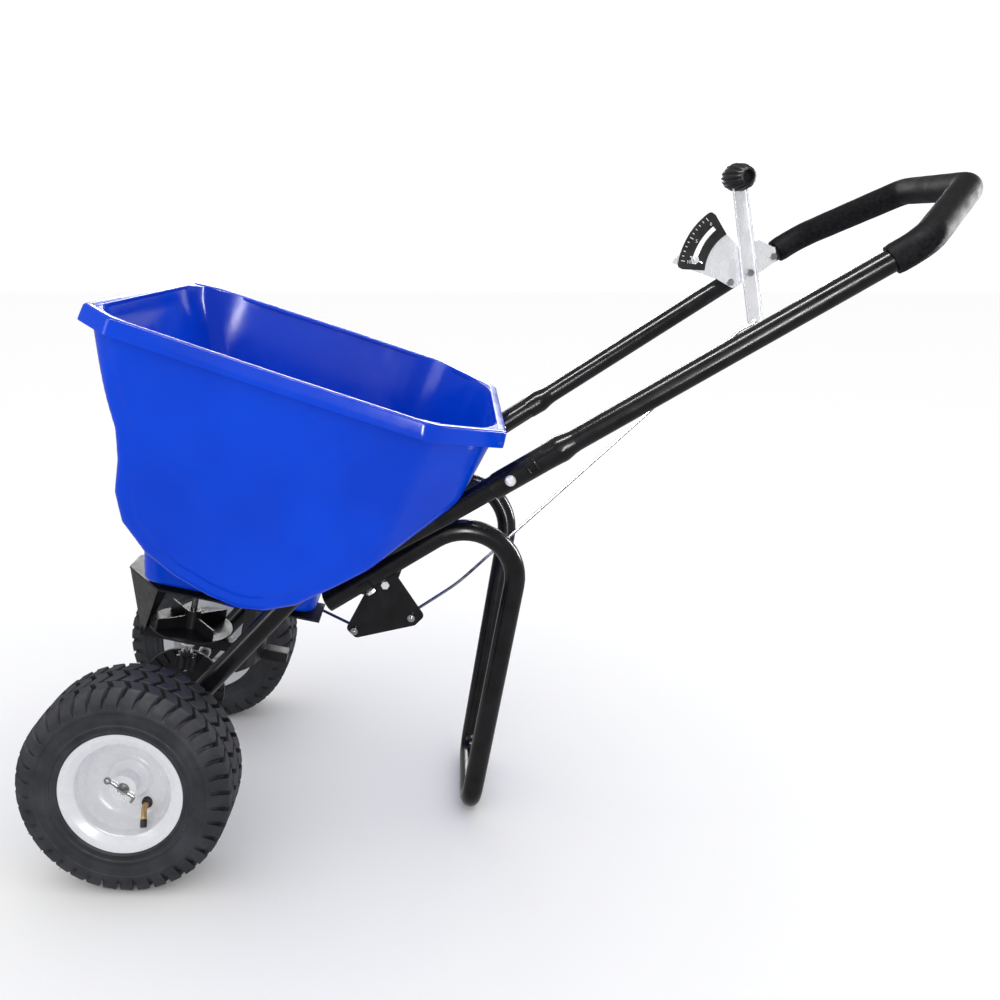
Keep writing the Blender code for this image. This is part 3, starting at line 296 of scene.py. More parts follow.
def make_black_plastic():
    """Moulded black plastic with a fine spark-eroded grain."""
    m = Nodes("black_plastic", (0.010, 0.010, 0.012), 0.35, specular=0.3)
    m.tint(m.noise(25.0), (0.007, 0.007, 0.009), (0.016, 0.016, 0.018))
    m.roughen(m.noise(90.0), 0.28, 0.44)
    m.bump(m.voronoi(1400.0), 0.25, 0.0002)
    return m.material


def make_zinc():
    """Bright zinc plate: cloudy spangle and fine rolling marks."""
    m = Nodes("zinc", (0.88, 0.89, 0.92), 0.28, metallic=0.55)
    m.tint(m.noise(18.0, 2.0), (0.90, 0.91, 0.94), (0.95, 0.96, 0.98))
    m.roughen(m.noise(90.0, 3.0, (1.0, 1.0, 0.3)), 0.22, 0.32)
    m.bump(m.noise(420.0, 2.0), 0.03, 0.0002)
    return m.material


def make_drawn_steel():
    """Drawn steel rod and bolts: darker than the plated sheet."""
    m = Nodes("drawn_steel", (0.36, 0.36, 0.38), 0.24, metallic=1.0)
    m.tint(m.noise(60.0, 3.0), (0.28, 0.28, 0.30), (0.44, 0.44, 0.46))
    m.roughen(m.noise(140.0), 0.18, 0.30)
    m.bump(m.noise(600.0, 2.0), 0.04, 0.0002)
    return m.material


def make_white_paint():
    """White enamel on the rims with a trace of road film."""
    m = Nodes("white_paint", (0.66, 0.67, 0.70), 0.22)
    m.tint(m.noise(9.0, 3.0), (0.66, 0.67, 0.70), (0.70, 0.71, 0.74))
    m.roughen(m.noise(50.0), 0.20, 0.34)
    m.bump(m.noise(420.0, 2.0), 0.08, 0.0003)
    return m.material


def make_tyre_rubber():
    """Dark rubber with a dusty bloom and a faint moulded grain."""
    m = Nodes("tyre_rubber", (0.026, 0.027, 0.033), 0.62, specular=0.25)
    m.tint(m.noise(22.0, 6.0), (0.018, 0.019, 0.024), (0.036, 0.037, 0.045))
    m.roughen(m.noise(70.0, 5.0), 0.52, 0.74)
    m.bump(m.noise(900.0, 3.0), 0.22, 0.0003)
    return m.material


def make_foam():
    """Closed-cell foam: tiny pores and a soft skin."""
    m = Nodes("foam", (0.008, 0.008, 0.010), 0.55, specular=0.06)
    m.tint(m.noise(160.0, 5.0), (0.005, 0.005, 0.007), (0.013, 0.013, 0.015))
    m.roughen(m.noise(40.0), 0.46, 0.64)
    m.bump(m.voronoi(900.0), 0.45, 0.0005)
    return m.material


def make_nylon():
    """Off-white moulded nylon."""
    m = Nodes("nylon", (0.78, 0.77, 0.72), 0.42)
    m.tint(m.noise(30.0), (0.70, 0.69, 0.64), (0.82, 0.81, 0.77))
    m.roughen(m.noise(80.0), 0.36, 0.50)
    m.bump(m.noise(500.0, 2.0), 0.1, 0.0002)
    return m.material


def make_brass():
    """Dull, handled brass."""
    m = Nodes("brass", (0.50, 0.33, 0.14), 0.32, metallic=1.0)
    m.tint(m.noise(120.0, 5.0), (0.36, 0.22, 0.09), (0.58, 0.40, 0.18))
    m.roughen(m.noise(200.0), 0.26, 0.46)
    m.bump(m.noise(700.0, 2.0), 0.1, 0.0002)
    return m.material


def make_tick_paint():
    """White ink of the scale's ticks and numbers."""
    m = Nodes("tick_paint", (0.85, 0.85, 0.85), 0.5)
    m.tint(m.noise(300.0), (0.72, 0.72, 0.72), (0.88, 0.88, 0.88))
    return m.material


LOOKS = {
    "blue_poly": make_blue_poly(),
    "black_paint": make_black_paint(),
    "black_plastic": make_black_plastic(),
    "zinc": make_zinc(),
    "white_paint": make_white_paint(),
    "tyre_rubber": make_tyre_rubber(),
    "foam": make_foam(),
    "nylon": make_nylon(),
    "brass": make_brass(),
    "tick_paint": make_tick_paint(),
    "drawn_steel": make_drawn_steel(),
}

# Nodes whose zinc slot is plain drawn steel rather than bright plated sheet
DRAWN_NODES = (
    "control_rod", "gate_rod", "rear_hairpin_clip", "front_hairpin_clip", "axle", "impeller_shaft",
    "lever_pivot_bolt", "lower_bracket_bolt", "upper_bracket_bolt",
    "left_cotter_pin", "right_cotter_pin",
)


def paint_cad_nodes():
    """Every CAD node takes the look of its slot in the record."""
    for entry in frame["record"]["subparts"]:
        node = frame["nodes"][entry["node"]]
        look = LOOKS["drawn_steel" if entry["node"] in DRAWN_NODES else entry["material_slot"]]
        for i in range(len(node.material_slots)):
            node.material_slots[i].link = "DATA"
            node.material_slots[i].material = look


# ---------------------------------------------------------------- mesh tools


def add_piece(name, bm, look, body, replaced=(), smooth=35):
    """Makes a visual piece that rides a body, in place of the CAD nodes it replaces."""
    bmesh.ops.recalc_face_normals(bm, faces=bm.faces)
    mesh = bpy.data.meshes.new(name)
    bm.to_mesh(mesh)
    bm.free()
    mesh.materials.append(LOOKS[look])
    mesh.shade_smooth()
    mesh.set_sharp_from_angle(angle=radians(smooth))
    piece = bpy.data.objects.new(name, mesh)
    bpy.context.scene.collection.objects.link(piece)
    if replaced:
        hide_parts(*replaced)
    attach(piece, body)
    return piece


def loft(rings, closed=False, caps=True):
    """A surface through rings of equal length: joined last to first, or capped at both ends."""
    bm = bmesh.new()
    made = [[bm.verts.new(point) for point in ring] for ring in rings]
    pairs = list(zip(made, made[1:]))
    if closed:
        pairs.append((made[-1], made[0]))
    for low, high in pairs:
        for i in range(len(low)):
            j = (i + 1) % len(low)
            bm.faces.new((low[i], low[j], high[j], high[i]))
    if caps and not closed:
        bm.faces.new(made[0])
        bm.faces.new(made[-1])
    return bm


def circle(radius, sides, height):
    step = 2 * pi / sides
    return [Vector((radius * cos(i * step), radius * sin(i * step), height)) for i in range(sides)]


def merge(target, *meshes):
    """Adds whole meshes to the target and frees them."""
    for bm in meshes:
        mesh = bpy.data.meshes.new("part")
        bmesh.ops.recalc_face_normals(bm, faces=bm.faces)
        bm.to_mesh(mesh)
        bm.free()
        target.from_mesh(mesh)
        bpy.data.meshes.remove(mesh)
    return target


def moved(bm, matrix):
    bmesh.ops.transform(bm, matrix=matrix, verts=bm.verts)
    return bm


def mirrored(bm):
    bmesh.ops.scale(bm, vec=(1, -1, 1), verts=bm.verts)
    bmesh.ops.reverse_faces(bm, faces=bm.faces)
    return bm


def rounded_path(points, radii, steps):
    """The polyline through points, with each inner corner rounded to the given radius."""
    path = [points[0]]
    for before, corner, after, radius in zip(points, points[1:], points[2:], radii):
        back = (before - corner).normalized()
        ahead = (after - corner).normalized()
        half = acos(max(-1, min(1, back.dot(ahead)))) / 2
        centre = corner + (back + ahead).normalized() * (radius / sin(half))
        start = corner + back * (radius / tan(half)) - centre
        end = corner + ahead * (radius / tan(half)) - centre
        swing = pi - 2 * half
        for i in range(steps + 1):
            t = i / steps
            path.append(centre + (start * sin((1 - t) * swing) + end * sin(t * swing)) / sin(swing))
    path.append(points[-1])
    return path


def rounded_closed(corners, radii, steps):
    """A closed flat outline, as (x, y) pairs, whose corners are arcs."""
    outline = []
    for i, (corner, radius) in enumerate(zip(corners, radii)):
        before = Vector((*corners[i - 1], 0))
        after = Vector((*corners[(i + 1) % len(corners)], 0))
        arc = rounded_path([before, Vector((*corner, 0)), after], [radius], steps)[1:-1]
        outline += [(point.x, point.y) for point in arc]
    return outline


def finer(path, spacing):
    """The path with extra points, so that none are further apart than spacing."""
    points = [path[0]]
    for start, end in zip(path, path[1:]):
        count = max(1, round((end - start).length / spacing))
        points += [start.lerp(end, (i + 1) / count) for i in range(count)]
    return points


def sweep_rings(path, radius, sides, shape=None):
    """Circles along a path, square to it. shape(run) may give (up, sideways) factors."""
    rings = []
    tangent = (path[1] - path[0]).normalized()
    side = Vector((0, 1, 0)) if abs(tangent.y) < 0.9 else Vector((1, 0, 0))
    run = 0.0
    for i, point in enumerate(path):
        ahead = (path[min(i + 1, len(path) - 1)] - path[max(i - 1, 0)]).normalized()
        side = tangent.rotation_difference(ahead) @ side
        tangent = ahead
        side = (side - tangent * side.dot(tangent)).normalized()
        up = tangent.cross(side)
        run += (point - path[i - 1]).length if i else 0.0
        tall, wide = shape(run) if shape else (1, 1)
        step = 2 * pi / sides
        ring = []
        for j in range(sides):
            rise = up * (radius * tall * cos(j * step))
            ring.append(point + rise + side * (radius * wide * sin(j * step)))
        rings.append(ring)
    return rings


def hollow_tube(path, shape=None):
    """A tube of the frame's own size along a path, open at both ends."""
    outer = sweep_rings(path, TUBE_RADIUS, TUBE_SIDES, shape)
    inner = sweep_rings(path, TUBE_RADIUS - TUBE_WALL, TUBE_SIDES, shape)
    return loft(outer + inner[::-1], closed=True)


def smooth_step(low, high, value):
    """Eases from 0 at low to 1 at high."""
    t = np.clip((value - low) / (high - low), 0, 1)
    return t * t * (3 - 2 * t)


# ---------------------------------------------------------------- wheels


def wheel_matrix(side):
    """From a wheel drawn round the Z axis, outer side up, to its place on the axle."""
    middle = place(0, side * TRACK / 2, WHEEL_RADIUS)
    return Matrix.Translation(middle) @ Matrix.Rotation(side * -pi / 2, 4, "X")


def revolved(profile, steps):
    """A closed (radius, height) section turned round the Z axis."""
    return loft([circle(radius, steps, height) for radius, height in profile], closed=True)


def crown(offset):
    """Outer radius of the tread at a distance from the tyre's middle."""
    part = abs(offset) / (TYRE_WIDTH / 2)
    shoulder = max(0.0, part - SHOULDER_START) / (1 - SHOULDER_START)
    return WHEEL_RADIUS - CROWN_DROP * part ** 2 - SHOULDER_DROP * shoulder ** 1.6


def tyre_carcass():
    """The hollow casing under the tread, with its sidewall steps and beads."""
    half = TYRE_WIDTH / 2
    corners = [
        (WHEEL_RADIUS - TREAD_DEPTH, 0.0),
        (WHEEL_RADIUS - TREAD_DEPTH - 0.001, 0.55 * half),
        (WHEEL_RADIUS - TREAD_DEPTH - 0.008, 0.84 * half),
        (WHEEL_RADIUS - 0.029, 0.985 * half), (WHEEL_RADIUS - 0.033, 0.995 * half),
        (WHEEL_RADIUS - 0.035, 0.978 * half), (0.120, 0.985 * half), (0.112, 0.965 * half),
        (0.1105, 0.985 * half), (0.1075, 0.982 * half), (0.1065, 0.955 * half),
        (0.101, 0.945 * half), (0.0995, 0.968 * half), (0.0975, 0.962 * half),
        (0.0965, 0.92 * half), (RIM_RADIUS - 0.004, 0.88 * half), (BEAD_RADIUS + 0.001, 0.78 * half),
    ]
    radii = [0.02, 0.03, 0.012, 0.002, 0.0008, 0.0006, 0.01, 0.003, 0.0006, 0.0006, 0.001, 0.002,
             0.0006, 0.0006, 0.0006, 0.001, 0.001]
    mirror = [(radius, -offset) for radius, offset in reversed(corners[1:])]
    inner = [(0.100, -0.60 * half), (0.100, 0.60 * half)]
    everything = corners + inner[::-1] + mirror
    rounding = radii + [0.002, 0.002] + radii[:0:-1]
    return revolved(rounded_closed(everything, rounding, 4), TYRE_STEPS)


def tread_zigzag(offset):
    """How far a lateral groove runs round the tyre at an offset from its middle."""
    wave = (abs(offset) / ZIGZAG_STEP) % 2.0
    return ZIGZAG_REACH * (wave if wave < 1 else 2 - wave)


def tread_block(start, length, low, high):
    """One raised block, from low to high across the tyre, with a small chamfer round its top."""
    levels = ((-TREAD_DEPTH - 0.004, -0.0012), (-BLOCK_CHAMFER, 0.0), (0.0, BLOCK_CHAMFER))
    rings = []
    for depth, inset in levels:
        near, far = [], []
        for i in range(BLOCK_CUTS + 1):
            offset = low + inset + (high - low - 2 * inset) * i / BLOCK_CUTS
            radius = crown(offset) + depth
            around = start + tread_zigzag(offset)
            for side, edge in ((near, around + inset), (far, around + length - inset)):
                angle = edge / WHEEL_RADIUS
                side.append(Vector((radius * cos(angle), radius * sin(angle), offset)))
        rings.append(near + far[::-1])
    bm = loft(rings, caps=False)
    bm.verts.ensure_lookup_table()
    top = list(bm.verts)[-2 * (BLOCK_CUTS + 1):]
    for i in range(BLOCK_CUTS):
        bm.faces.new((top[i], top[i + 1], top[-i - 2], top[-i - 1]))
    return bm


def tyre_tread():
    """Three rows of blocks, the middle one half a pitch behind."""
    pitch = 2 * pi * WHEEL_RADIUS / TREAD_PITCHES
    return [tread_block((i + lag) * pitch, pitch - TREAD_GROOVE, low, high)
            for low, high, lag in TREAD_ROWS for i in range(TREAD_PITCHES)]


def tyre_hairs(seed):
    """The little rubber spews that moulding leaves on shoulders and sidewalls."""
    chance = random.Random(seed)
    hairs = []
    for _ in range(HAIR_COUNT):
        angle = chance.uniform(0, 2 * pi)
        side = chance.choice((-1, 1))
        if chance.random() < 0.6:
            offset = side * chance.uniform(0.030, 0.052)
            base = Vector((crown(offset) - 0.0015, 0, offset))
            lean = Vector((0.35, chance.uniform(-0.2, 0.2), side * 0.9))
        else:
            base = Vector((chance.uniform(0.104, 0.132), 0, side * (TYRE_WIDTH / 2 - 0.0015)))
            lean = Vector((chance.uniform(-0.2, 0.2), chance.uniform(-0.2, 0.2), side))
        tip = base + lean.normalized() * chance.uniform(0.0025, 0.0050)
        spin = Matrix.Rotation(angle, 4, "Z")
        path = [spin @ base, spin @ tip]
        hairs.append(loft([sweep_rings(path, 0.0006, 5)[0], sweep_rings(path, 0.0003, 5)[1]]))
    return hairs


def rim_mesh():
    """Pressed steel rim with rolled edges, a deep well and a domed disc with its hub tube."""
    edge = RIM_WIDTH / 2
    sheet = 0.0022
    bore = 0.0137
    face = [
        (bore, HUB_LENGTH / 2 - 0.010), (HUB_RADIUS, HUB_LENGTH / 2 - 0.010),
        (HUB_RADIUS, edge - 0.0435), (0.030, edge - 0.0435), (0.036, edge - 0.050),
        (0.060, edge - 0.0445), (BEAD_RADIUS - 0.0065, edge - 0.024),
        (BEAD_RADIUS - 0.0045, edge - 0.0105), (RIM_RADIUS - 0.009, edge - 0.0030), (RIM_RADIUS, edge),
    ]
    back = [
        (RIM_RADIUS + 0.0004, edge - sheet), (BEAD_RADIUS, edge - 0.009),
        (BEAD_RADIUS - 0.006, edge - 0.026), (BEAD_RADIUS - 0.006, 0.026 - edge),
        (BEAD_RADIUS, 0.009 - edge), (RIM_RADIUS + 0.0004, sheet - edge), (RIM_RADIUS, -edge),
        (BEAD_RADIUS - 0.003, 0.006 - edge), (BEAD_RADIUS - 0.009, 0.022 - edge),
        (BEAD_RADIUS - 0.009, edge - 0.028), (0.061, edge - 0.048), (0.036, edge - 0.053),
        (HUB_RADIUS, edge - 0.0475), (HUB_RADIUS, 0.002 - HUB_LENGTH / 2),
        (bore, 0.002 - HUB_LENGTH / 2),
    ]
    face_radii = [0.0004, 0.0008, 0.002, 0.004, 0.006, 0.020, 0.010, 0.006, 0.004, 0.0008]
    back_radii = [0.0008, 0.004, 0.004, 0.004, 0.004, 0.0008, 0.0008, 0.004, 0.004, 0.006, 0.01,
                  0.004, 0.001, 0.0004, 0.0004]
    return revolved(rounded_closed(face + back, face_radii + back_radii, 5), RIM_STEPS)


def grommet_mesh(side):
    """The rubber collar round the valve stem where it comes through the disc."""
    level = RIM_WIDTH / 2 - 0.0475
    section = [(0.0048, level - 0.004), (0.0085, level - 0.004), (0.0085, level + 0.003),
               (0.0048, level + 0.0055)]
    collar = revolved(rounded_closed(section, [0.0004, 0.0004, 0.0015, 0.0004], 3), 32)
    return moved(collar, Matrix.Translation((0.026, 0.040 * side, 0)))


def make_wheels():
    for (name, side), body in zip(SIDES, ("free_wheel", "axle_and_drive_wheel")):
        matrix = wheel_matrix(side)
        tyre = merge(tyre_carcass(), *tyre_tread(), *tyre_hairs(side + 7))
        add_piece(f"{name}_tyre_tread", moved(tyre, matrix), "tyre_rubber", body,
                  [f"{name}_tyre"], 32)
        add_piece(f"{name}_rim_pressing", moved(rim_mesh(), matrix), "white_paint", body,
                  [f"{name}_rim"], 40)
        add_piece(f"{name}_valve_grommet", moved(grommet_mesh(side), matrix), "tyre_rubber", body)


# ---------------------------------------------------------------- hopper


# The tub's outline in the side view, as (u, v) from the front of the rim down and round to its rear
SIDE_PROFILE = [
    (-0.249, RIM_HEIGHT), (-0.240, 0.657), (-0.164, 0.525), (-0.150, 0.480), (-0.143, 0.430),
    (-0.124, 0.385), (-0.080, 0.346), (-0.030, 0.324), (0.030, 0.309), (0.080, 0.305), (0.118, 0.314),
    (0.162, 0.340), (0.205, 0.388), (0.267, 0.4625), (0.335, 0.540), (0.349, 0.560), (0.362, 0.646),
    (0.371, RIM_HEIGHT),
]


def soft_max(a, b, reach):
    """The larger of two depths, rounded where they are within reach of each other."""
    part = np.clip(reach - np.abs(a - b), 0, None) / reach
    return np.maximum(a, b) + part * part * reach / 4


def profile_depth(u, v):
    """Signed distance in the side view from the tub's outline, below zero inside, open above."""
    above = RIM_HEIGHT + 0.3
    corners = [(RIM_FRONT, above)] + SIDE_PROFILE + [(RIM_REAR, above)]
    nearest = np.full(u.shape, 1.0)
    inside = np.zeros(u.shape, bool)
    for (u0, v0), (u1, v1) in zip(corners, corners[1:] + corners[:1]):
        du, dv = u1 - u0, v1 - v0
        t = np.clip(((u - u0) * du + (v - v0) * dv) / (du * du + dv * dv), 0, 1)
        nearest = np.minimum(nearest, np.hypot(u - u0 - t * du, v - v0 - t * dv))
        if dv:
            crosses = (v0 > v) != (v1 > v)
            inside ^= crosses & (u < du * (v - v0) / dv + u0)
    return np.where(inside, -nearest, nearest)


def tub_depth(u, y, v, flare):
    """Below zero inside the tub: side outline, side walls, four leaning corners and the well."""
    wide = np.abs(y)
    outline = profile_depth(u, v)
    low_rear = smooth_step(0.16, 0.22, u) * (1 - smooth_step(0.54, 0.62, v))
    outline = outline + 0.016 * low_rear * (1 - smooth_step(0.175, 0.200, wide))
    top = smooth_step(0.30, RIM_HEIGHT, v)
    bulge = np.interp(u, [-0.207, -0.08, 0.060, 0.17, 0.272],
                      [-0.0045, 0.002, 0.0045, 0.0042, 0.0015])
    half = FLANK_HALF + (v - FLANK_LEVEL) * FLANK_SLOPE + top * bulge
    half = half - 0.0035 * smooth_step(-0.030, -0.024, outline)
    depth = soft_max(outline, wide - half, EDGE_BLEND)
    ends = ((RIM_REAR, REAR_CHAMFER, REAR_HALF), (RIM_FRONT, FRONT_CHAMFER, FRONT_HALF))
    for end, (length, width), corner in ends:
        outwards = 1 if end > 0 else -1
        size = hypot(length, width)
        along, across = outwards * width / size, length / size
        lean = CHAMFER_LEAN * (RIM_HEIGHT - v)
        plane = ((u - end) * along + (wide - corner) * across + LIP + lean) / hypot(1, CHAMFER_LEAN)
        depth = soft_max(depth, plane, 0.012 + flare * top)
    turn = HOPPER_TILT - DRIVE_TILT
    p, q = u * cos(turn) + v * sin(turn), v * cos(turn) - u * sin(turn)
    rise = np.clip(q - BASE_HEIGHT, 0, None)
    well_length = np.abs(p - 0.071 + 0.03 * rise) - 0.150
    well_width = wide - 0.098 - 0.40 * rise
    well = soft_max(well_length, well_width, WELL_BLEND)
    well = soft_max(well, BASE_HEIGHT - q, 0.010)
    depth = depth - FLANK_SWELL * smooth_step(0.34, 0.44, v)
    return -soft_max(-depth, -well, 0.012)


def tub_surface(inset, flare):
    """Rings of points on the tub, from the rim down to the middle of its base."""
    angles = np.arange(TUB_TURNS) * 2 * pi / TUB_TURNS

    def reach(start, directions):
        """How far each direction goes from the starting point to the surface."""
        found = np.full(directions.shape[:-1], 0.05)
        going = np.ones(found.shape, bool)
        for _ in range(RAY_STEPS):
            at = start + directions * (found + RAY_STEP)[..., None]
            going &= tub_depth(at[..., 0], at[..., 1], at[..., 2], flare) < -inset
            found = np.where(going, found + RAY_STEP, found)
        low, high = found, found + RAY_STEP
        for _ in range(RAY_HALVINGS):
            middle = (low + high) / 2
            at = start + directions * middle[..., None]
            within = tub_depth(at[..., 0], at[..., 1], at[..., 2], flare) < -inset
            low, high = np.where(within, middle, low), np.where(within, high, middle)
        return low

    flat = np.stack([np.cos(angles), np.sin(angles), np.zeros(TUB_TURNS)], axis=1)
    height = RIM_HEIGHT - 0.002
    radius = reach(np.array([TUB_EYE[0], 0.0, height]), flat)
    top = np.arctan2(height - TUB_EYE[2], radius)
    share = (np.arange(TUB_LEVELS) / (TUB_LEVELS - 1))[:, None]
    pitch = top + share * (-pi / 2 + 1e-3 - top)
    around = np.broadcast_to(angles, pitch.shape)
    level = np.cos(pitch)
    directions = np.stack([level * np.cos(around), level * np.sin(around), np.sin(pitch)], axis=-1)
    points = TUB_EYE + directions * reach(TUB_EYE, directions)[..., None]
    points[0, :, 2] = height
    return [[Vector(point) for point in ring] for ring in points]


def rim_outline(offset, steps):
    """Plan of the rim, offset outwards from the tub's top edge."""
    corners = [
        (RIM_FRONT, FRONT_HALF), (RIM_FRONT + FRONT_CHAMFER[0], FRONT_HALF + FRONT_CHAMFER[1]),
        (0.060, RIM_HALF_WIDTH),
        (RIM_REAR - REAR_CHAMFER[0], REAR_HALF + REAR_CHAMFER[1]), (RIM_REAR, REAR_HALF),
    ]
    full = corners + [(u, -y) for u, y in reversed(corners)]
    grown = []
    for i, (u, y) in enumerate(full):
        here = Vector((u, y))
        first = (here - Vector(full[i - 1])).normalized()
        second = (Vector(full[(i + 1) % len(full)]) - here).normalized()
        normal = Vector((-first.y, first.x))
        corner = (normal + Vector((-second.y, second.x))).normalized()
        grown.append(tuple(here + corner * ((offset - LIP) / corner.dot(normal))))
    radii = [0.012, 0.022, 0.12, 0.040, 0.014]
    return rounded_closed(grown, radii + radii[::-1], steps)


def rim_ring():
    """The rolled rim: a soft ledge, a rounded brow and a turned-down, slightly flared lip."""
    top = RIM_HEIGHT
    section = [
        (-0.0036, top - 0.008), (-0.0030, top - 0.0005), (0.0035, top), (LIP - 0.001, top),
        (LIP + 0.0008, top - 0.016), (LIP + 0.0015, top - LIP_DEPTH),
        (LIP - 0.0015, top - LIP_DEPTH), (LIP - 0.0022, top - 0.012), (LIP - 0.004, top - 0.0045),
        (0.0012, top - 0.0045), (0.0, top - 0.009),
    ]
    radii = [0.0008, 0.0028, 0.006, 0.0046, 0.010, 0.0012, 0.0012, 0.004, 0.002, 0.002, 0.0008]
    rings = []
    for offset, height in rounded_closed(section, radii, 5):
        rings.append([Vector((u, y, height)) for u, y in rim_outline(offset, 10)])
    return loft(rings, closed=True)


def tilted(angle):
    """From the hopper's or the drive's own frame, which leans about the axle, to its place."""
    return Matrix.Translation(place(0, 0, WHEEL_RADIUS)) @ Matrix.Rotation(angle, 4, "Y")


def make_hopper():
    """The tub's shell and its rim, with the outlet cut through the base."""
    outer = tub_surface(0.0, OUTER_FLARE)
    inner = tub_surface(WALL, INNER_FLARE)
    shell = loft(outer[::-1] + inner)
    merge(shell, rim_ring())
    shell = moved(shell, tilted(HOPPER_TILT))
    hopper = add_piece("hopper_tub", shell, "blue_poly", "frame", ["hopper"], 48)
    outline = [(0.034, -0.036), (0.080, -0.045), (0.080, 0.045), (0.034, 0.036)]
    port = loft([[Vector((p, y, q)) for p, y in outline] for q in (0.2, 0.262)])
    cut_from(hopper, moved(port, tilted(DRIVE_TILT)))


def cut_from(piece, bm):
    """Cuts a mesh out of a piece and keeps only the result."""
    bmesh.ops.recalc_face_normals(bm, faces=bm.faces)
    mesh = bpy.data.meshes.new("cutter")
    bm.to_mesh(mesh)
    bm.free()
    cutter = bpy.data.objects.new("cutter", mesh)
    bpy.context.scene.collection.objects.link(cutter)
    modifier = piece.modifiers.new("cut", "BOOLEAN")
    modifier.operation = "DIFFERENCE"
    modifier.solver = "EXACT"
    modifier.object = cutter
    bpy.context.view_layer.update()
    graph = bpy.context.evaluated_depsgraph_get()
    result = bpy.data.meshes.new_from_object(piece.evaluated_get(graph))
    piece.modifiers.clear()
    piece.data = result
    bpy.data.objects.remove(cutter, do_unlink=True)


# ---------------------------------------------------------------- frame, stand and handle


def upper_line(x):
    """The middle of the right-hand upper tube at x: it splays outwards as it rises."""
    ahead = x - HANDLE_JOINT.x
    return Vector((x, HANDLE_JOINT.y + ahead * tan(SPLAY), HANDLE_JOINT.z + ahead * UPPER_SLOPE))


def sided(bm, side):
    """The right-hand mesh as it is, or mirrored for the left."""
    return mirrored(bm) if side < 0 else bm


def make_frame_tubes():
    """Each tube is flattened where the axle goes through its foot, then bends twice."""
    along = (FRAME_BEND - FRAME_FOOT).normalized()
    corners = [FRAME_FOOT + along * 0.060, FRAME_BEND, upper_line(JOINT_START - 0.085),
               upper_line(SWAGE_X - 0.010)]
    path = [FRAME_FOOT - along * 0.017] + rounded_path(corners, [0.090, 0.100], 12)
    path = finer([place(*point) for point in path], 0.006)

    def pressed(run):
        blend = float(smooth_step(0.036, 0.074, run))
        return 1.32 - 0.32 * blend, 0.26 + 0.74 * blend

    for name, side in SIDES:
        tube = sided(hollow_tube(path, pressed), side)
        add_piece(f"{name}_bent_tube", tube, "black_paint", "frame", [f"{name}_frame_tube"])


def make_stand():
    """One tube bent four times, down to the ground and back."""
    half = [Vector((0.2935, 0.155, 0.4035)), Vector((0.6265, 0.155, 0.6116)),
            Vector((0.5265, 0.094, TUBE_RADIUS))]
    full = half + [Vector((p.x, -p.y, p.z)) for p in reversed(half)]
    rounded = rounded_path(full, [0.085, 0.040, 0.040, 0.085], 16)
    path = finer([place(*point) for point in rounded], 0.008)
    add_piece("bent_stand", hollow_tube(path), "black_paint", "frame", ["stand"])


def loop_path(start_x):
    """The handle's middle line from start_x round its loop to the same place on the left."""
    side = [upper_line(start_x), upper_line(GRIP_BEND_X), GRIP_BAR.copy()]
    full = side + [Vector((p.x, -p.y, p.z)) for p in reversed(side)]
    rounded = rounded_path(full, [0.070, 0.046, 0.046, 0.070], 14)
    return finer([place(*point) for point in rounded], 0.008)


def tube_axes(x):
    """Centre, direction and the outward and upward normals of the right-hand handle tube at x."""
    along = (upper_line(x + 0.01) - upper_line(x)).normalized()
    outward = Vector((0, 1, 0))
    outward = (outward - along * outward.dot(along)).normalized()
    return upper_line(x), along, outward, along.cross(outward)


def scoop_mesh():
    """The pressed end that wraps the outside of the frame tube, easing into the round tube."""
    start, along, outward, up = tube_axes(JOINT_START)
    reach = (upper_line(SWAGE_X + 0.012) - upper_line(JOINT_START)).length
    rings = []
    for i in range(13):
        run = reach * i / 12
        open_part = float(smooth_step(0.0, 0.014, run))
        spread = radians(58 + 24 * open_part)
        flare = 0.0010 * (1 - open_part)
        arc = []
        outer = TUBE_RADIUS + SCOOP_GAP + flare
        for radius, direction in ((outer, 1), (outer - SCOOP_SHEET, -1)):
            for j in range(25):
                angle = direction * spread * (2 * j / 24 - 1)
                across = outward * (radius * cos(angle)) + up * (radius * sin(angle))
                arc.append(start + along * run + across)
        rings.append([place(*point) for point in arc])
    return loft(rings)


def swage_mesh():
    """The smooth shoulder where the round tube swells over the frame tube's end."""
    centre, along, _, _ = tube_axes(SWAGE_X + 0.012)
    steps = [(-0.030, 0.0032), (-0.016, 0.0036), (-0.009, 0.0040), (-0.003, 0.0040),
             (0.004, 0.0026), (0.012, 0.0009), (0.020, 0.0001)]
    path = [place(*(centre + along * run)) for run, _ in steps]
    rings = []
    for i, ring in enumerate(sweep_rings(path, 1.0, 32)):
        middle = path[i]
        rings.append([middle + (point - middle) * (TUBE_RADIUS + steps[i][1]) for point in ring])
    return loft(rings)


def square_neck_hole():
    """The spare square hole in the scoop, pressed in a shallow dimple."""
    centre, along, outward, up = tube_axes(SPARE_HOLE_X)
    middle = centre + outward * (TUBE_RADIUS + 0.0030)
    frame_up = Matrix((along, up, outward)).transposed().to_4x4()
    corners = [(-0.0045, -0.0045), (0.0045, -0.0045), (0.0045, 0.0045), (-0.0045, 0.0045)]
    rim = [(2.5, 0.0001), (2.1, 0.0020), (1.6, 0.0026), (1.1, 0.0020), (1.0, 0.0004),
           (1.0, -0.0035)]
    outline = rounded_closed(corners, [0.0012] * 4, 3)
    bm = loft([[Vector((x * size, y * size, height)) for x, y in outline] for size, height in rim])
    return moved(bm, Matrix.Translation(place(*middle)) @ frame_up)


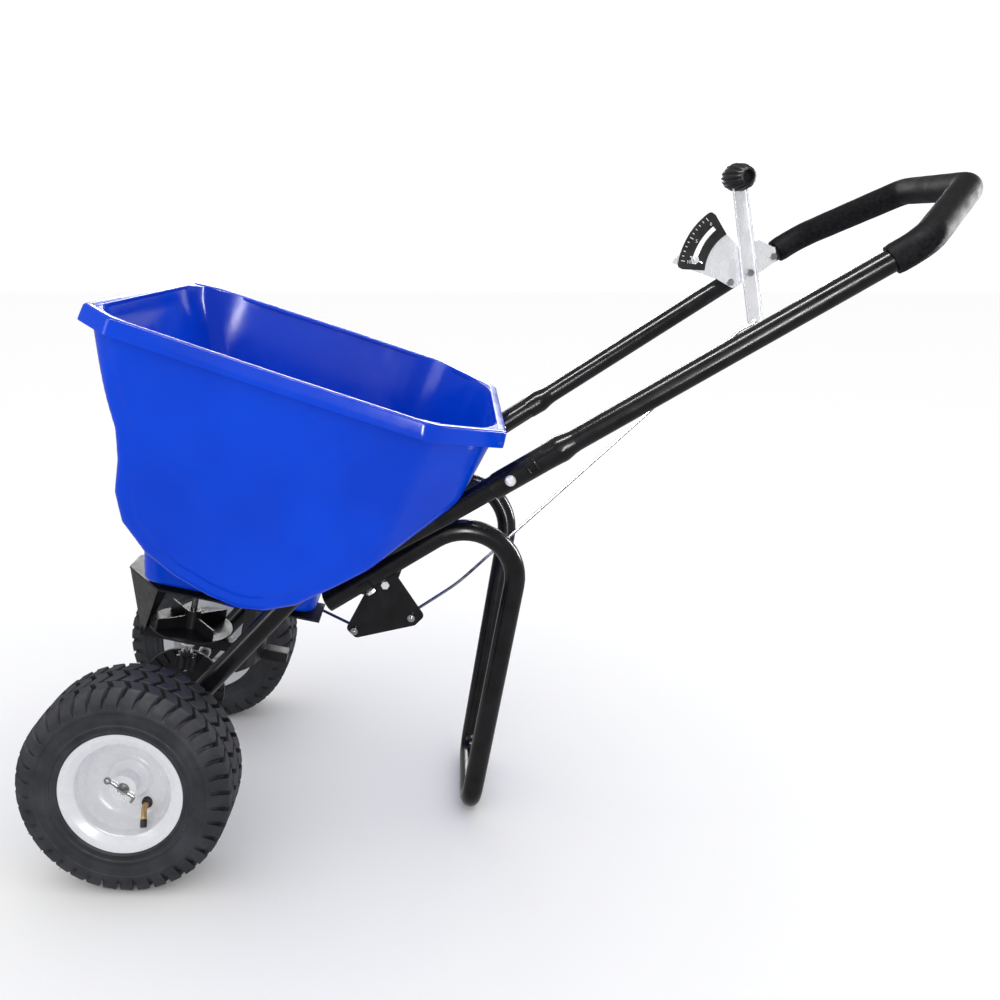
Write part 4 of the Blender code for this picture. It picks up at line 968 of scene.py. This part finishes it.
def make_handle():
    """The looped tube with a scoop, a shoulder and a spare hole at each end."""
    tube = hollow_tube(loop_path(SWAGE_X + 0.004))
    for _, side in SIDES:
        merge(tube, *(sided(bm, side) for bm in (scoop_mesh(), swage_mesh(), square_neck_hole())))
    add_piece("looped_handle", tube, "black_paint", "frame", ["handle_tube"])


def make_grip():
    """Foam sleeve with softly rounded ends and a slight ripple along it."""
    path = loop_path(GRIP_START_X)
    length = sum((b - a).length for a, b in zip(path, path[1:]))

    def swell(run):
        edge = min(run, length - run)
        ends = float(smooth_step(-0.004, 0.006, edge))
        ripple = 1 + 0.004 * sin(run * 130)
        size = (0.93 + 0.07 * ends) * ripple
        return size, size

    outer = sweep_rings(path, GRIP_RADIUS - 0.0008, GRIP_SIDES, swell)
    inner = sweep_rings(path, TUBE_RADIUS + 0.0004, GRIP_SIDES)
    sleeve = loft(outer + inner[::-1], closed=True)
    grip = add_piece("foam_sleeve", sleeve, "foam", "frame", ["foam_grip"])


# ---------------------------------------------------------------- lever, knob and scale


def lever_matrix(lean=0.0):
    """From the lever's own frame, pivot at its origin, to its place."""
    return (Matrix.Translation(place(*LEVER_PIVOT)) @ Matrix.Rotation(SPLAY, 4, "Z")
            @ Matrix.Rotation(-lean, 4, "Y"))


def make_lever():
    """Pressed channel: a flat web with two rolled flanges towards the operator's middle."""
    half = LEVER_WIDTH / 2
    web = LEVER_Y + 0.002
    sheet, depth = LEVER_SHEET, LEVER_DEPTH
    section = [
        (-half, web - depth), (-half, web), (half, web), (half, web - depth),
        (half - sheet, web - depth), (half - sheet, web - sheet),
        (sheet - half, web - sheet), (sheet - half, web - depth),
    ]
    radii = [0.0003, 0.0032, 0.0032, 0.0003, 0.0003, 0.0012, 0.0012, 0.0003]
    outline = rounded_closed(section, radii, 5)
    levels = ((-LEVER_DOWN, 0.72), (-LEVER_DOWN + 0.006, 0.90), (-LEVER_DOWN + 0.014, 1.0),
              (0.05, 1.0), (LEVER_UP, 0.92))
    rings = [[Vector((x * narrow, y, height)) for x, y in outline] for height, narrow in levels]
    channel = moved(loft(rings), lever_matrix(LEVER_LEAN))
    lever = add_piece("lever_channel", channel, "zinc", "lever", ["control_lever"])
    for radius, height in ((HOOK_HOLE_RADIUS, -LEVER_HOOK), (PIVOT_HOLE_RADIUS, 0)):
        drill = loft([circle(radius, 32, -0.01), circle(radius, 32, 0.02)])
        drill = moved(drill, Matrix.Rotation(pi / 2, 4, "X"))
        spot = Matrix.Translation((0, 0, height))
        cut_from(lever, moved(drill, lever_matrix(LEVER_LEAN) @ spot))


def make_knob():
    """Barrel grip with deep ribs and a recessed end, turned towards the operator's middle."""
    # Height, radius and rib depth, from the bottom of the recess outwards and up
    profile = [
        (-0.024, 0.0105, 0), (-0.0325, 0.0115, 0),
        (-0.0340, 0.0125, 0), (-0.0335, 0.0150, 0), (-0.0310, 0.0180, 0.3), (-0.0230, 0.0224, 1),
        (-0.0120, 0.0255, 1), (0.0, 0.0268, 1), (0.0100, 0.0260, 1), (0.0190, 0.0234, 1),
        (0.0250, 0.0198, 0.4), (0.0285, 0.0165, 0), (0.0300, 0.0130, 0),
    ]
    rings = []
    for height, radius, depth in profile:
        ring = []
        for i in range(KNOB_SIDES):
            angle = 2 * pi * i / KNOB_SIDES
            wave = 0.5 + 0.5 * cos(KNOB_RIBS * angle)
            cut = RIB_DEPTH * depth * (1 - wave ** 0.45)
            ring.append(Vector(((radius - cut) * cos(angle), (radius - cut) * sin(angle), height)))
        rings.append(ring)
    top = LEVER_UP + 0.004
    spot = Matrix.Translation((-sin(LEVER_LEAN) * top, LEVER_Y, cos(LEVER_LEAN) * top))
    turned = Matrix.Rotation(KNOB_TURN, 4, "Z")
    knob = moved(loft(rings), lever_matrix() @ spot @ turned @ Matrix.Rotation(-pi / 2, 4, "X"))
    add_piece("ribbed_knob", knob, "black_plastic", "lever", ["lever_knob"], 50)


def arc_sheet(inner, outer, low, high, near, far, steps=40, corner=0.0):
    """A flat ring sector in the X-Z plane between two depths, with eased outer corners."""
    front, back = [], []
    for i in range(steps + 1):
        angle = low + (high - low) * i / steps
        edge = min(angle - low, high - angle) * outer
        left = max(0.0, corner - edge)
        ease = corner - max(0.0, corner ** 2 - left ** 2) ** 0.5
        front.append((outer - ease, angle))
        back.append((inner, angle))
    outline = front + back[::-1]
    return loft([[Vector((radius * cos(angle), depth, radius * sin(angle))) for radius, angle in outline]
                 for depth in (near, far)])


def make_scale():
    """Black scale plate with its arc slot, and plain white ticks with evenly stepped numbers."""
    near, far = SCALE_NEAR, SCALE_FAR
    low, high = radians(SCALE_LOW), radians(SCALE_HIGH)
    inside, outside = SCALE_SLOT - SLOT_HALF, SCALE_SLOT + SLOT_HALF
    plate = arc_sheet(outside, SCALE_OUTER, low, high, near, far, corner=0.010)
    merge(plate, arc_sheet(SCALE_INNER, inside, low, high, near, far))
    for start, end in ((low, radians(SLOT_LOW)), (radians(SLOT_HIGH), high)):
        merge(plate, arc_sheet(inside - 0.0002, outside + 0.0002, start, end, near, far, 6))
    plate = moved(plate, lever_matrix())
    add_piece("printed_scale", plate, "black_plastic", "frame", ["scale_plate"])
    ticks = bmesh.new()
    edge = SCALE_OUTER - TICK_MARGIN
    half = 0.0007 / SCALE_OUTER
    for i in range(TICK_COUNT):
        angle = radians(TICK_START + TICK_STEP * i)
        length = 0.0042 if i % TICKS_PER_NUMBER else 0.0075
        merge(ticks, arc_sheet(edge - length, edge, angle - half, angle + half,
                               near - 0.00025, near + 0.0002, 1))
    add_piece("scale_ticks", moved(ticks, lever_matrix()), "tick_paint", "frame")
    for i, mark in enumerate(("0", "5", "10")):
        angle = radians(TICK_START + TICK_STEP * TICKS_PER_NUMBER * i)
        text = bpy.data.curves.new(f"scale_number_{i}", "FONT")
        text.body = mark
        text.size = NUMBER_SIZE
        text.extrude = 0.0001
        text.align_x = "CENTER"
        text.align_y = "CENTER"
        text.materials.append(LOOKS["tick_paint"])
        number = bpy.data.objects.new(f"scale_number_{i}", text)
        spot = Vector((NUMBER_RADIUS * cos(angle), near - 0.0002, NUMBER_RADIUS * sin(angle)))
        facing = Matrix.Rotation(pi / 2, 4, "X")
        number.matrix_world = lever_matrix() @ Matrix.Translation(spot) @ facing
        bpy.context.scene.collection.objects.link(number)
        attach(number, "frame")


# ---------------------------------------------------------------- studio


def make_camera():
    """The main view: from beside the machine, about a metre up, looking slightly down."""
    yaw, pitch, roll = CAMERA_ANGLES
    ahead = Vector((sin(yaw) * cos(pitch), cos(yaw) * cos(pitch), -sin(pitch)))
    right = ahead.cross(Vector((0, 0, 1))).normalized()
    up = right.cross(ahead)
    tilted_right = right * cos(roll) + up * sin(roll)
    tilted_up = up * cos(roll) - right * sin(roll)
    data = bpy.data.cameras.new("camera")
    data.sensor_width = CAMERA_SENSOR
    data.lens = CAMERA_LENS
    data.shift_x, data.shift_y = CAMERA_SHIFT
    camera = bpy.data.objects.new("camera", data)
    turn = Matrix((tilted_right, tilted_up, -ahead)).transposed().to_4x4()
    camera.matrix_world = Matrix.Translation(place(*CAMERA_PLACE)) @ turn
    bpy.context.scene.collection.objects.link(camera)
    bpy.context.scene.camera = camera


def add_light(name, location, target, width, height, power, lights_surfaces):
    """An area light facing its target."""
    data = bpy.data.lights.new(name, "AREA")
    data.shape = "RECTANGLE"
    data.size = width
    data.size_y = height
    data.energy = power
    light = bpy.data.objects.new(name, data)
    light.location = location
    light.rotation_euler = (Vector(target) - Vector(location)).to_track_quat("-Z", "Y").to_euler()
    light.visible_diffuse = lights_surfaces
    bpy.context.scene.collection.objects.link(light)


def make_studio():
    """A pale floor, a room that dims its own reflections, and the lights."""
    bm = bmesh.new()
    bmesh.ops.create_grid(bm, x_segments=2, y_segments=2, size=FLOOR_HALF_SIZE)
    mesh = bpy.data.meshes.new("studio_floor")
    bm.to_mesh(mesh)
    bm.free()
    floor_look = Nodes("studio_floor", (0.96, 0.96, 0.96), 0.7, specular=0.2)
    mesh.materials.append(floor_look.material)
    floor = bpy.data.objects.new("studio_floor", mesh)
    bpy.context.scene.collection.objects.link(floor)
    floor.visible_glossy = False
    world = bpy.data.worlds.new("studio")
    world.use_nodes = True
    tree = world.node_tree
    rays = tree.nodes.new("ShaderNodeLightPath")
    dimmer = tree.nodes.new("ShaderNodeMapRange")
    dimmer.inputs["To Min"].default_value = ROOM_LIGHT
    dimmer.inputs["To Max"].default_value = ROOM_REFLECTION
    tree.links.new(rays.outputs["Is Glossy Ray"], dimmer.inputs["Value"])
    tree.links.new(dimmer.outputs["Result"], tree.nodes["Background"].inputs["Strength"])
    tree.nodes["Background"].inputs["Color"].default_value = (1, 1, 1, 1)
    bpy.context.scene.world = world
    bpy.context.scene.view_settings.view_transform = "Standard"
    for light in LIGHTS:
        add_light(*light)


paint_cad_nodes()
make_wheels()
make_hopper()
make_frame_tubes()
make_stand()
make_handle()
make_grip()
make_lever()
make_knob()
make_scale()
make_camera()
make_studio()
